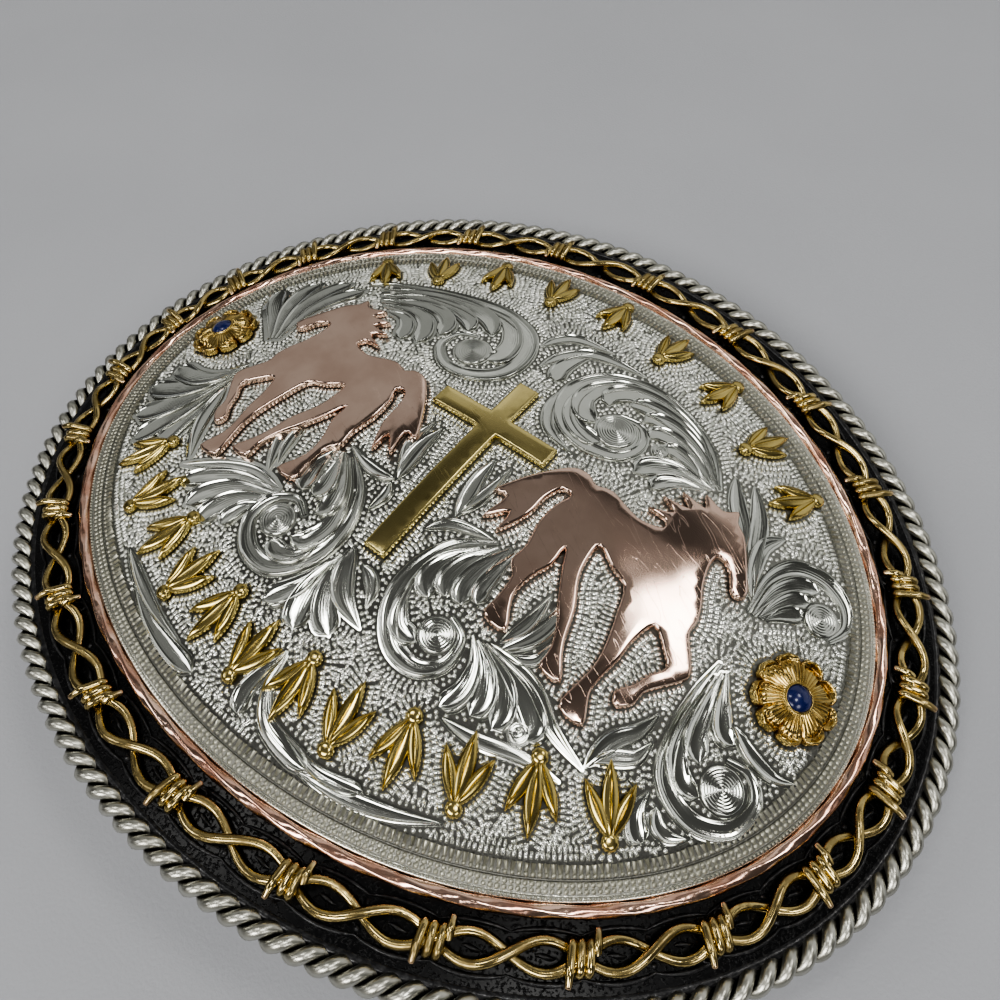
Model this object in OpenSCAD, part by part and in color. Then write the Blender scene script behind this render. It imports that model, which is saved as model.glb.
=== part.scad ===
// Oval rodeo belt buckle: a bent back plate with a rope edge, a ring of barbed wire in a dark channel,
// and a domed silver plate with a cross, two horses, two rosettes and rows of small leaf sprigs.
// It lies face up: +X along its length, +Y up on the buckle, +Z out of its face.

/* [Back plate] */
// Length of the buckle over the rope edge
length = 108; // [107:0.5:109]
// Height of the buckle over the rope edge
height = 87.5; // [87:0.25:88.5]
// Radius to which the plate is bent along its length
bend_r = 282; // [270:1:300]
// Thickness of the back plate
plate_t = 1.6; // [1.4:0.1:1.8]

/* [Rope edge] */
// Diameter of the rope edge
rope_d = 2.4; // [2.2:0.1:2.6]
// Number of lobes seen round the edge, two to a turn of the rope
rope_lobes = 144; // [120:2:160]
// Height of the rope's middle over the middle of the plate's edge
rope_rise = 0.45; // [0.2:0.05:0.6]

/* [Silver plate] */
// Length of the silver plate
silver_l = 90.4; // [89:0.2:91]
// Height of the silver plate
silver_h = 69.2; // [68:0.2:69.6]
// Height of the plate's rim over the channel
rim_h = 1.4; // [1.2:0.1:1.6]
// Rise of the dome over the rim
dome_h = 3.9; // [3.4:0.1:4.4]
// Thickness of the silver sheet
silver_t = 1.1; // [0.9:0.1:1.3]

/* [Copper rope] */
// Width of the copper rope round the silver plate
copper_d = 1.2; // [1.1:0.1:1.4]
// Full turns of the copper rope
copper_turns = 13; // [10:1:18]
// Height of the copper rope over the channel, so that it stands a little over the plate's rim
copper_lift = 0.5; // [0.3:0.1:0.6]

/* [Barbed wire] */
// Thickness of each strand
strand_d = 0.86; // [0.8:0.02:0.9]
// Number of barbs round the channel
barbs = 24; // [22:1:26]
// How far a strand swings to each side between the barbs
swing = 1.15; // [1:0.05:1.3]

/* [Figures] */
// Thickness of the cross, the horses and the sprigs
figure_t = 0.8; // [0.6:0.1:1]
// Width of the bars of the cross
cross_w = 2.5; // [2.2:0.1:2.8]
// Height of the cross
cross_h = 24.9; // [23:0.1:26]
// Width of the cross over its arms
cross_span = 14.6; // [13:0.1:15]

/* [Rosettes] */
// Diameter of a rosette
rosette_d = 8.5; // [8:0.1:9]
// Number of its petals
petals = 9; // [8:1:11]
// Diameter of its stone
stone_d = 2.4; // [2.2:0.1:2.6]

/* [Sprigs] */
// Height of a sprig in the upper row
upper_h = 6.4; // [5.8:0.1:6.8]
// Height of a sprig in the lower row
lower_h = 7.2; // [6.4:0.1:7.6]
// Number of sprigs in the upper row
upper_count = 9; // [7:1:9]
// Number of sprigs in the lower row
lower_count = 12; // [9:1:12]

/* [Belt fittings] */
// Width of the belt that the loop takes
belt_w = 38; // [36:0.5:38]
// Clear height between the loop and the back plate
belt_gap = 4.8; // [4.6:0.1:5.4]
// Thickness of the loop's wire
loop_d = 2.6; // [2.4:0.1:3]
// Distance of the loop's bar from the middle of the buckle
loop_x = 34; // [32:0.5:35]
// Distance of the hook from the middle of the buckle
hook_x = 36; // [33:0.5:38]
// Diameter of the hook's post
hook_d = 3; // [2.8:0.1:3.2]

/* [Hidden] */
UPPER_NODES = [for (i = [1:upper_count]) str("upper_sprig_", i)];
LOWER_NODES = [for (i = [1:lower_count]) str("lower_sprig_", i)];

// Solder line left between two pieces that lie on each other
seam = 0.05;

// Half-axes of the ovals, from the outside in
rope_a = (length - rope_d) / 2;
rope_b = (height - rope_d) / 2;
plate_a = rope_a - rope_d / 2 - seam;
plate_b = rope_b - rope_d / 2 - seam;
silver_a = silver_l / 2;
silver_b = silver_h / 2;
copper_a = silver_a + seam + copper_d / 2;
copper_b = silver_b + seam + copper_d / 2;
// The wire lies this much nearer the silver plate than the middle of the channel
wire_in = 0.15;
wire_a = (copper_a + copper_d / 2 + rope_a - rope_d / 2) / 2 - wire_in;
wire_b = (copper_b + copper_d / 2 + rope_b - rope_d / 2) / 2 - wire_in;

// The bend's axis lies along Y, so far down that the belt passes over the loop's bar
back_r = bend_r - plate_t;
bend_z = loop_d + belt_gap - sqrt(back_r * back_r - loop_x * loop_x);
function floor_z(x) = bend_z + sqrt(bend_r * bend_r - x * x);
function back_z(x) = bend_z + sqrt(back_r * back_r - x * x);

// The dome is turned about an axis along Y, with an arc across it, so its rim stays level with the channel
dome_rise_x = dome_h + bend_r - sqrt(bend_r * bend_r - silver_a * silver_a);
dome_rx = (silver_a * silver_a + dome_rise_x * dome_rise_x) / (2 * dome_rise_x);
dome_ry = (silver_b * silver_b + dome_h * dome_h) / (2 * dome_h);
dome_top = floor_z(0) + rim_h + dome_h;
rim_z = floor_z(silver_a);
function dome_z(x, y) = dome_top - dome_rx
    + sqrt(pow(dome_rx - dome_ry + sqrt(dome_ry * dome_ry - y * y), 2) - x * x);

// Places of the figures, and heights that clear the whole face and the whole back
figure_top = dome_top + 5;
post_top = 20;
cross_arm_y = 6.6;
cross_top_y = 12.9;
rosette_x = 38.4;
rosette_y = 1.2;
rosette_t = 1.3;

// Points of a closed smooth curve through a few points
function smooth(points, steps) = let (n = len(points)) [for (i = [0:n - 1]) for (k = [0:steps - 1])
    let (t = k / steps, a = points[(i + n - 1) % n], b = points[i], c = points[(i + 1) % n],
        d = points[(i + 2) % n])
    0.5 * (2 * b + (c - a) * t + (2 * a - 5 * b + 4 * c - d) * t * t
        + (3 * b - a - 3 * c + d) * t * t * t)];

// Angles that part an oval into equal lengths, from a table of [length so far, angle]
function oval_table(a, b) = [for (i = 0, s = 0; i <= 360;
    s = s + norm([a * (cos(i + 1) - cos(i)), b * (sin(i + 1) - sin(i))]), i = i + 1) [s, i]];
function even_angles(a, b, count) = let (table = oval_table(a, b), whole = table[360][0])
    [for (i = [0:count - 1]) lookup(whole * i / count, table)];

// A ring of section points [outward, upward] set square to a closed path
function ring_at(path, i, section) = let (n = len(path), d = path[(i + 1) % n] - path[(i + n - 1) % n],
    along = d / norm(d), s = cross(along, [0, 0, 1]), out = s / norm(s), up = cross(out, along))
    [for (q = section) path[i] + out * q[0] + up * q[1]];

// Closed tube through rings of points, the last ring joined to the first; hand 1 for a rope whose rings
// turn to the left along the path and -1 for one that turns to the right, so that its faces bulge outward
module closed_tube(rings, hand = -1) {
    n = len(rings);
    m = len(rings[0]);
    polyhedron(
        points = [for (ring = rings) for (p = ring) p],
        faces = [for (i = [0:n - 1]) for (j = [0:m - 1])
            let (a = i * m + j, b = i * m + (j + 1) % m, step = ((i + 1) % n - i) * m)
            each hand > 0 ? [[a, b, a + step], [b, b + step, a + step]]
                : [[a, b, b + step], [a, b + step, a + step]]]);
}

// Upright oval block
module oval_block(a, b, z0, z1) {
    sides = 240;
    translate([0, 0, z0]) linear_extrude(height = z1 - z0)
        polygon([for (i = [0:sides - 1]) let (t = 360 * i / sides) [a * cos(t), b * sin(t)]]);
}

// All that lies under the plate's bend, grown or shrunk by an offset from the channel floor
module under_bend(offset_r) {
    translate([0, 0, bend_z]) rotate([90, 0, 0])
        cylinder(r = bend_r + offset_r, h = height + 20, center = true, $fn = 720);
}

// All that lies under the dome, grown or shrunk by an offset
module under_dome(offset_r) {
    half_angle = 24;
    core_r = 100;
    translate([0, 0, dome_top - dome_rx]) rotate([90, 0, 0]) rotate([0, 0, 90 - half_angle])
        rotate_extrude(angle = 2 * half_angle, $fn = 720)
            intersection() {
                translate([dome_rx - dome_ry, 0]) circle(r = dome_ry + offset_r, $fn = 720);
                translate([core_r, -silver_b - 5]) square([dome_rx, 2 * silver_b + 10]);
            }
}

// A flat outline laid on the dome with a given thickness
module on_dome(thickness) {
    difference() {
        intersection() {
            linear_extrude(height = figure_top) children();
            under_dome(thickness);
        }
        under_dome(seam);
    }
}

module base_plate() {
    color("#17181a") difference() {
        intersection() {
            oval_block(plate_a, plate_b, 0, figure_top);
            under_bend(0);
        }
        under_bend(-plate_t);
    }
}

// Rope edge: a flat lozenge section twisted round the path stands for the two round strands
module outer_rope() {
    slimness = 0.64;
    steps = 4;
    count = rope_lobes * steps;
    angles = even_angles(rope_a, rope_b, count);
    path = [for (t = angles) let (x = rope_a * cos(t)) [x, rope_b * sin(t), floor_z(x) - plate_t / 2 + rope_rise]];
    wide = rope_d / 2;
    slim = slimness * wide;
    color("#c9c9c4") closed_tube([for (i = [0:count - 1]) let (turn = 180 * i / steps)
        ring_at(path, i, [for (k = [0:3]) let (r = k % 2 == 0 ? wide : slim, t = turn + 90 * k)
            [r * cos(t), r * sin(t)]])], hand = 1);
}

// Copper rope: a square wire with a slow twist, its corners as wide as the rope
module copper_rope() {
    steps = 9;
    count = copper_turns * steps;
    angles = even_angles(copper_a, copper_b, count);
    r = copper_d / 2;
    path = [for (t = angles) let (x = copper_a * cos(t)) [x, copper_b * sin(t), floor_z(x) + r + copper_lift]];
    color("#b87a63") closed_tube([for (i = [0:count - 1])
        ring_at(path, i, [for (k = [0:3]) let (t = 90 * k - 360 * i / steps) [r * cos(t), r * sin(t)]])]);
}

// Middle line of the barbed wire at an angle of its oval, and of one strand swinging about it
wire_z = strand_d + seam;
crossing_h = strand_d / 2;
first_barb = -89.5;
function wire_point(t) = let (x = wire_a * cos(t)) [x, wire_b * sin(t), floor_z(x) + wire_z];
function strand_point(t, side) = let (turn = barbs * (t - first_barb),
    out = [wire_b * cos(t), wire_a * sin(t), 0])
    wire_point(t) + side * (swing * sin(turn) * out / norm(out) - [0, 0, crossing_h * cos(turn)]);

// One strand, five-sided
module strand(side) {
    steps = 6;
    count = barbs * steps;
    path = [for (i = [0:count - 1]) strand_point(first_barb + 360 * i / count, side)];
    closed_tube([for (i = [0:count - 1]) ring_at(path, i, [for (k = [0:4])
        [cos(72 * k + 18), sin(72 * k + 18)] * strand_d / 2])]);
}

// One barb: the outer form of three coils wound round both strands, whose ends stand out as spikes
coil_w = 3;
coil_out = 1.5;
spike_reach = 2.25;
spike_from = [0.8, 0.3];
spike_root = 0.7;
spike_tip = 0.1;
module barb() {
    rotate([90, 0, 0]) scale([coil_out, wire_z - seam, 1])
        cylinder(r = 1, h = coil_w, center = true, $fn = 8);
    for (side = [-1, 1]) hull() {
        translate([side * spike_from[0], side * coil_w / 3, spike_from[1]])
            cube([spike_tip, spike_root, spike_root], center = true);
        translate([side * spike_reach, side * coil_w / 3, spike_tip]) cube(spike_tip, center = true);
    }
}

module barbed_wire() {
    color("#a9813a") {
        strand(-1);
        strand(1);
        for (i = [0:barbs - 1]) {
            t = first_barb + 360 * i / barbs;
            p = wire_point(t);
            translate(p) rotate([0, asin(p[0] / bend_r), 0])
                rotate([0, 0, atan2(wire_a * sin(t), wire_b * cos(t))]) barb();
        }
    }
}

module silver_plate() {
    color("#b9bab8") difference() {
        intersection() {
            oval_block(silver_a, silver_b, rim_z - 2, figure_top);
            under_dome(0);
        }
        under_bend(seam);
        intersection() {
            oval_block(silver_a - silver_t, silver_b - silver_t, rim_z - 3, figure_top);
            under_dome(-silver_t);
        }
    }
}

// Bars of the cross
module cross_outline() {
    translate([-cross_w / 2, cross_top_y - cross_h]) square([cross_w, cross_h]);
    translate([-cross_span / 2, cross_arm_y - cross_w / 2]) square([cross_span, cross_w]);
}

module cross_figure() {
    color("#a8893c") on_dome(figure_t) cross_outline();
}

// Outline of the right horse from its ear round to its mane: [x, y] on the buckle
HORSE = [
    [25.3, 14], [25.9, 12.8], [27.1, 11.9], [28.4, 10], [29.6, 8], [30.2, 6.9], [30.1, 6.1],
    [29.4, 5.7], [28.7, 6.1], [27.8, 7.5], [26.9, 8.2], [26.1, 8.1], [26, 6.8], [26.6, 4.6],
    [27.5, 2.8], [28, 1.2], [28, -0.2], [29, -1.7], [30, -3.3], [29.7, -4.4], [28.3, -6.3],
    [27.6, -7.4], [27.4, -8.9], [26.2, -10], [25.5, -8.9], [26.5, -7.4], [27.1, -5.8],
    [27.9, -4.3], [26.6, -2.8], [25.1, -1.8], [24.4, -4], [24.3, -6.4], [23.9, -8.9],
    [24, -10.6], [25, -13.1], [22.4, -13.1], [22.5, -10.6], [22.8, -8.4], [22.6, -6.2],
    [21.8, -3.2], [20.8, -0.4], [18.9, 0.4], [16.9, 1.5], [16.7, 0], [17.2, -2.4], [18.6, -5],
    [19.5, -7.8], [20.2, -9.3], [21.4, -11.4], [19.1, -11.4], [18.9, -9.4], [17.9, -7.1],
    [16.8, -5.4], [15.2, -2.4], [14.4, -0.8], [14.4, -3], [13.6, -5.2], [13.5, -7.8],
    [14.9, -10.7], [12.3, -10.7], [12.3, -8.4], [12.1, -6.2], [11.1, -4.9], [11.3, -2.8],
    [10.8, -0.2], [10.9, 2.4], [11.5, 4.2], [10.4, 4.3], [9.7, 2.4], [9.5, -0.2], [8.1, -3.4],
    [7.9, -1], [6.1, -2.9], [6.6, 0.2], [5.2, 0.2], [6.5, 2.9], [8.2, 5.4], [9.9, 7.2],
    [11.6, 7.5], [12.7, 6.9], [14.4, 7.4], [16.6, 6.8], [18.4, 6.5], [20.4, 7.2], [19.9, 8.2],
    [18.1, 8.2], [20.3, 9.4], [18.6, 10.3], [21.1, 10.8], [19.8, 12.1], [22.4, 12],
    [21.7, 13.5], [24, 13]];

// The horse on one side of the cross, 1 for the right and -1 for the left
module horse(side) {
    color("#a5674f") on_dome(figure_t) scale([side, 1]) polygon(smooth(HORSE, 3));
}

// Scalloped outline of a rosette: the outer arc of each petal, meeting its neighbours' arcs
module rosette_outline() {
    steps = 12;
    petal_r = rosette_d * sin(180 / petals) / (2 * (1 + sin(180 / petals)));
    ring_r = rosette_d / 2 - petal_r;
    half_arc = 90 + 180 / petals;
    polygon([for (k = [0:petals - 1]) for (i = [1:steps])
        let (middle = 90 + 360 * k / petals, t = middle + half_arc * (2 * i - 1 - steps) / steps)
        ring_r * [cos(middle), sin(middle)] + petal_r * [cos(t), sin(t)]]);
}

// Sets what it holds square to the dome where a rosette sits
module on_slope(side) {
    translate([side * rosette_x, rosette_y, dome_z(rosette_x, rosette_y)])
        rotate([-asin(rosette_y / dome_ry), side * asin(rosette_x / dome_rx), 0]) children();
}

// Rosette with a flat foot, a crowned top and a round seat for its stone
stone_seat = 0.5;
module flower(side) {
    crown_r = 16;
    color("#b5913f") on_slope(side) difference() {
        intersection() {
            translate([0, 0, seam]) linear_extrude(height = 2 * rosette_t) rosette_outline();
            translate([0, 0, rosette_t - crown_r]) rotate([90, 0, 0]) sphere(r = crown_r, $fn = 240);
        }
        translate([0, 0, rosette_t - stone_seat]) cylinder(r = stone_d / 2 + seam, h = 3, $fn = 96);
    }
}

// Domed round stone that stands in the seat of its rosette
stone_rise = 0.45;
module stone(side) {
    r = stone_d / 2;
    tall = stone_seat - seam + stone_rise;
    ball_r = (r * r + stone_rise * stone_rise) / (2 * stone_rise);
    color("#141c4a") on_slope(side) translate([0, 0, rosette_t - stone_seat + seam]) intersection() {
        cylinder(r = r, h = tall, $fn = 96);
        translate([0, 0, tall - ball_r]) sphere(r = ball_r, $fn = 240);
    }
}

// Pointed leaf from the origin upward
module leaf(leaf_l, leaf_w) {
    r = (leaf_l * leaf_l + leaf_w * leaf_w) / (4 * leaf_w);
    translate([0, leaf_l / 2]) intersection() {
        translate([r - leaf_w / 2, 0]) circle(r = r, $fn = 180);
        translate([leaf_w / 2 - r, 0]) circle(r = r, $fn = 180);
    }
}

// Sprig of three leaves on a bud, as high as given and centred on the origin
module sprig(h) {
    spread = 25;
    bud_r = 0.75;
    middle_w = 1.5;
    side_w = 1.25;
    side_l = 0.72 * h;
    translate([0, -h / 2]) {
        translate([0, bud_r]) circle(r = bud_r, $fn = 48);
        translate([0, bud_r]) leaf(h - bud_r, middle_w);
        for (side = [-1, 1]) translate([0, bud_r]) rotate(side * spread) leaf(side_l, side_w);
    }
}

// Upper row: along an oval inside the rim, every second sprig pointing inward
upper_ratio = 0.862;
upper_from = 41.5;
upper_to = 137;
module upper_sprig(i) {
    t = upper_to + (upper_from - upper_to) * (i - 1) / (upper_count - 1);
    color("#a98b3e") on_dome(figure_t)
        translate(upper_ratio * [silver_a * cos(t), silver_b * sin(t)])
            rotate(atan2(silver_a * sin(t), silver_b * cos(t)) - 90 + 180 * (i % 2)) sprig(upper_h);
}

// Lower row: along a flat arch under the horses, every second sprig pointing down
lower_reach = 30.4;
lower_y = -25.8;
lower_arch_r = 55;
module lower_sprig(i) {
    x = lower_reach * (2 * (i - 1) / (lower_count - 1) - 1);
    y = lower_y + lower_arch_r - sqrt(lower_arch_r * lower_arch_r - x * x);
    color("#a98b3e") on_dome(figure_t)
        translate([x, y]) rotate(asin(x / lower_arch_r) + 180 * (i % 2)) sprig(lower_h);
}

// Belt loop: a bar and two legs of round wire, soldered to the back
module belt_loop() {
    r = loop_d / 2;
    leg_y = belt_w / 2 + r + 0.2;
    color("#b9bab8") intersection() {
        union() {
            translate([-loop_x, 0, r]) rotate([90, 0, 0])
                cylinder(r = r, h = 2 * leg_y, center = true, $fn = 96);
            for (side = [-1, 1]) translate([-loop_x, side * leg_y, r]) {
                sphere(r = r, $fn = 96);
                cylinder(r = r, h = post_top, $fn = 96);
            }
        }
        under_bend(-plate_t - seam);
    }
}

// Hook: a round post with a domed tip on a foot soldered to the back
hook_foot_d = 7;
hook_foot_t = 1.2;
module hook() {
    r = hook_d / 2;
    color("#b9bab8") intersection() {
        translate([hook_x, 0, r]) {
            sphere(r = r, $fn = 96);
            cylinder(r = r, h = post_top, $fn = 96);
            translate([0, 0, back_z(hook_x) - hook_foot_t - r])
                cylinder(r = hook_foot_d / 2, h = 10, $fn = 96);
        }
        under_bend(-plate_t - seam);
    }
}

base_plate();
outer_rope();
barbed_wire();
copper_rope();
silver_plate();
cross_figure();  // cross
horse(1);  // horse_right
horse(-1);  // horse_left
flower(1);  // flower_right
flower(-1);  // flower_left
stone(1);  // stone_right
stone(-1);  // stone_left
belt_loop();
hook();
for (i = [1:upper_count]) upper_sprig(i);
for (i = [1:lower_count]) lower_sprig(i);
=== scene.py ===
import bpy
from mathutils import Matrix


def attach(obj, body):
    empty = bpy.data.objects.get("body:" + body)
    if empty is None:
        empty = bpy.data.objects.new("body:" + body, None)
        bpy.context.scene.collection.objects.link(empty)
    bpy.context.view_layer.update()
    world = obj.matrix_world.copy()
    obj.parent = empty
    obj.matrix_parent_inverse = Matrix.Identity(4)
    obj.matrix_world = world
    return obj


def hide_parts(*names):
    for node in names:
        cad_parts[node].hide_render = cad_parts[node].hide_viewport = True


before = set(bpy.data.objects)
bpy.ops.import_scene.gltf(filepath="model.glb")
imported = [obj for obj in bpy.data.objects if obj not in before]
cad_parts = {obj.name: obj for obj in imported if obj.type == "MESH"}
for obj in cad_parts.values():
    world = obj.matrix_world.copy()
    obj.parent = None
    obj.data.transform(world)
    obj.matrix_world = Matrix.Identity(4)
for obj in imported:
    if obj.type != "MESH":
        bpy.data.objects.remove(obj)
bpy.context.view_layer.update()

import math

import bpy
import numpy as np
from mathutils import Matrix, Vector
from mathutils.geometry import delaunay_2d_cdt

# The back plate is an oval of nickel silver, bent to lie on the belt. Its face is blackened, with a
# fine grain, and its back is left plain and satin with long polishing lines.
NICKEL = (0.50, 0.48, 0.44, 1)
BLACK = (0.007, 0.007, 0.008, 1)
# Radius of the plate's bend, and height of the line that it is bent round
BEND_R, BEND_Z = 282.0, -270.931


class Shade:
    """A value on its way through a material's nodes, written as ordinary sums."""

    def __init__(self, finish, socket):
        self.finish, self.socket = finish, socket

    def sum(self, operation, other, turned=False):
        pair = (other, self) if turned else (self, other)
        return self.finish.node("Math", {"operation": operation}, pair)

    def __add__(self, other):
        return self.sum("ADD", other)

    def __sub__(self, other):
        return self.sum("SUBTRACT", other)

    def __rsub__(self, other):
        return self.sum("SUBTRACT", other, True)

    def __mul__(self, other):
        return self.sum("MULTIPLY", other)

    __radd__ = __add__
    __rmul__ = __mul__

    def __abs__(self):
        return self.finish.node("Math", {"operation": "ABSOLUTE"}, (self,))

    def wave(self):
        return self.finish.node("Math", {"operation": "SINE"}, (self,))

    def ease(self, low, high):
        """0 below low, 1 above high, smooth between; the other way round if low is the greater."""
        settings = {"interpolation_type": "SMOOTHSTEP"}
        return self.finish.node("MapRange", settings, (self, low, high))


class Finish:
    """The material of one kind of metal or stone, or of the table."""

    def __init__(self, name):
        self.material = bpy.data.materials.new(name)
        self.material.use_nodes = True
        self.tree = self.material.node_tree
        self.surface = self.tree.nodes["Principled BSDF"]

    def join(self, socket, value):
        if isinstance(value, Shade):
            self.tree.links.new(value.socket, socket)
        else:
            socket.default_value = value

    def node(self, kind, settings=None, values=(), out=0, **sockets):
        made = self.tree.nodes.new("ShaderNode" + kind)
        for name, value in (settings or {}).items():
            setattr(made, name, value)
        for place, value in enumerate(values):
            self.join(made.inputs[place], value)
        for name, value in sockets.items():
            self.join(made.inputs[name.replace("_", " ")], value)
        return Shade(self, made.outputs[out])

    def place(self, size=(1, 1, 1), turn=0.0):
        """Place on the buckle, turned about its face and counted in lengths of so many millimetres."""
        spot = self.node("TexCoord", out=3)
        turned = self.node("VectorRotate", {"rotation_type": "Z_AXIS"}, Vector=spot, Angle=turn)
        return self.node("Mapping", Vector=turned, Scale=[1000 / s for s in size])

    def place_along(self, axis):
        """Place on the buckle along one axis, in millimetres."""
        return self.node("SeparateXYZ", values=(self.place(),), out=axis)

    def mark(self):
        """The number from 0 to 1, or more, that each point of a mesh carries."""
        return self.node("Attribute", {"attribute_name": "mark"}, out=2)

    def grain(self, size, detail=3.0, turn=0.0):
        """Cloudy variation from 0 to 1; size is one length, or one along each axis."""
        size = size if isinstance(size, tuple) else (size,) * 3
        return self.node("TexNoise", Vector=self.place(size, turn), Scale=1.0, Detail=detail)

    def scratches(self, length, width, turn, keep=0.02):
        """Fine lines of a given length and spacing, 1 in the scratch."""
        field = self.grain((length, width, width), 1.0, turn)
        return abs(field - 0.5).ease(keep, 0.0)

    def blend(self, mask, first, second):
        made = self.tree.nodes.new("ShaderNodeMix")
        made.data_type = "RGBA"
        for place, value in ((0, mask), (6, first), (7, second)):
            self.join(made.inputs[place], value)
        return Shade(self, made.outputs[2])

    def bump(self, height, depth, under=None):
        """Relief of so many millimetres."""
        made = self.node("Bump", Height=height, Distance=depth * 0.001)
        if under is not None:
            self.join(made.socket.node.inputs["Normal"], under)
        return made

    def dress(self, **sockets):
        for name, value in sockets.items():
            self.join(self.surface.inputs[name.replace("_", " ")], value)


def floor_z(x):
    """Height of the bent plate's face."""
    return BEND_Z + np.sqrt(BEND_R**2 - np.square(x))


plate = Finish("blackened_nickel_silver")
facing = plate.node("SeparateXYZ", values=(plate.node("TexCoord", out=1),), out=2)
back = facing.ease(-0.3, -0.6)
leather = plate.grain(0.3, 3).ease(0.5, 0.8)
rub = plate.grain(9, 3)
lines = plate.grain((60, 0.12, 0.12), 3)
dust = plate.grain(0.12, 2).ease(0.62, 0.75)
plate_dark = plate.blend(dust * 0.25, BLACK, (0.05, 0.05, 0.052, 1))
plate.dress(
    Base_Color=plate.blend(back, plate_dark, plate.blend(rub, NICKEL, (0.38, 0.36, 0.32, 1))),
    Metallic=back,
    Roughness=0.24 + leather * 0.12 + back * (lines * 0.25 - 0.06),
    Normal=plate.bump(lines * back * 0.2 + leather * (1 - back), 0.05),
)
plate.surface.inputs["Specular IOR Level"].default_value = 0.25
base_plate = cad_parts["base_plate"]
base_plate.data.materials.clear()
base_plate.data.materials.append(plate.material)
for face in base_plate.data.polygons:
    face.material_index = 0


# Thin ridges are chased into the blackened face of the plate. They follow the barbed wire along both
# sides, with a short dash in each eye of the wire, two dots at each crossing and two curls at each barb.
SEAM = 0.05
WIRE_A, WIRE_B = 48.875, 38.45
STRAND_D, SWING = 0.86, 1.15
BARBS, FIRST_BARB = 24, -89.5
RIDGE_R, RIDGE_IN, RIDGE_OUT, RIDGE_UP, SCALLOP = 0.21, 1.95, 1.9, 0.07, 0.42
DASH_HALF, DASH_WAVE, DASH_UP = 1.1, 0.12, 0.06
DOT_OUT, DOT_RADII = 1.0, (0.3, 0.3, 0.27, 0.19, 0.02)
CURL_TURN, CURL_R, CURL_OUT, CURL_AWAY = 4.4, 0.85, 1.35, 1.7


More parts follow.
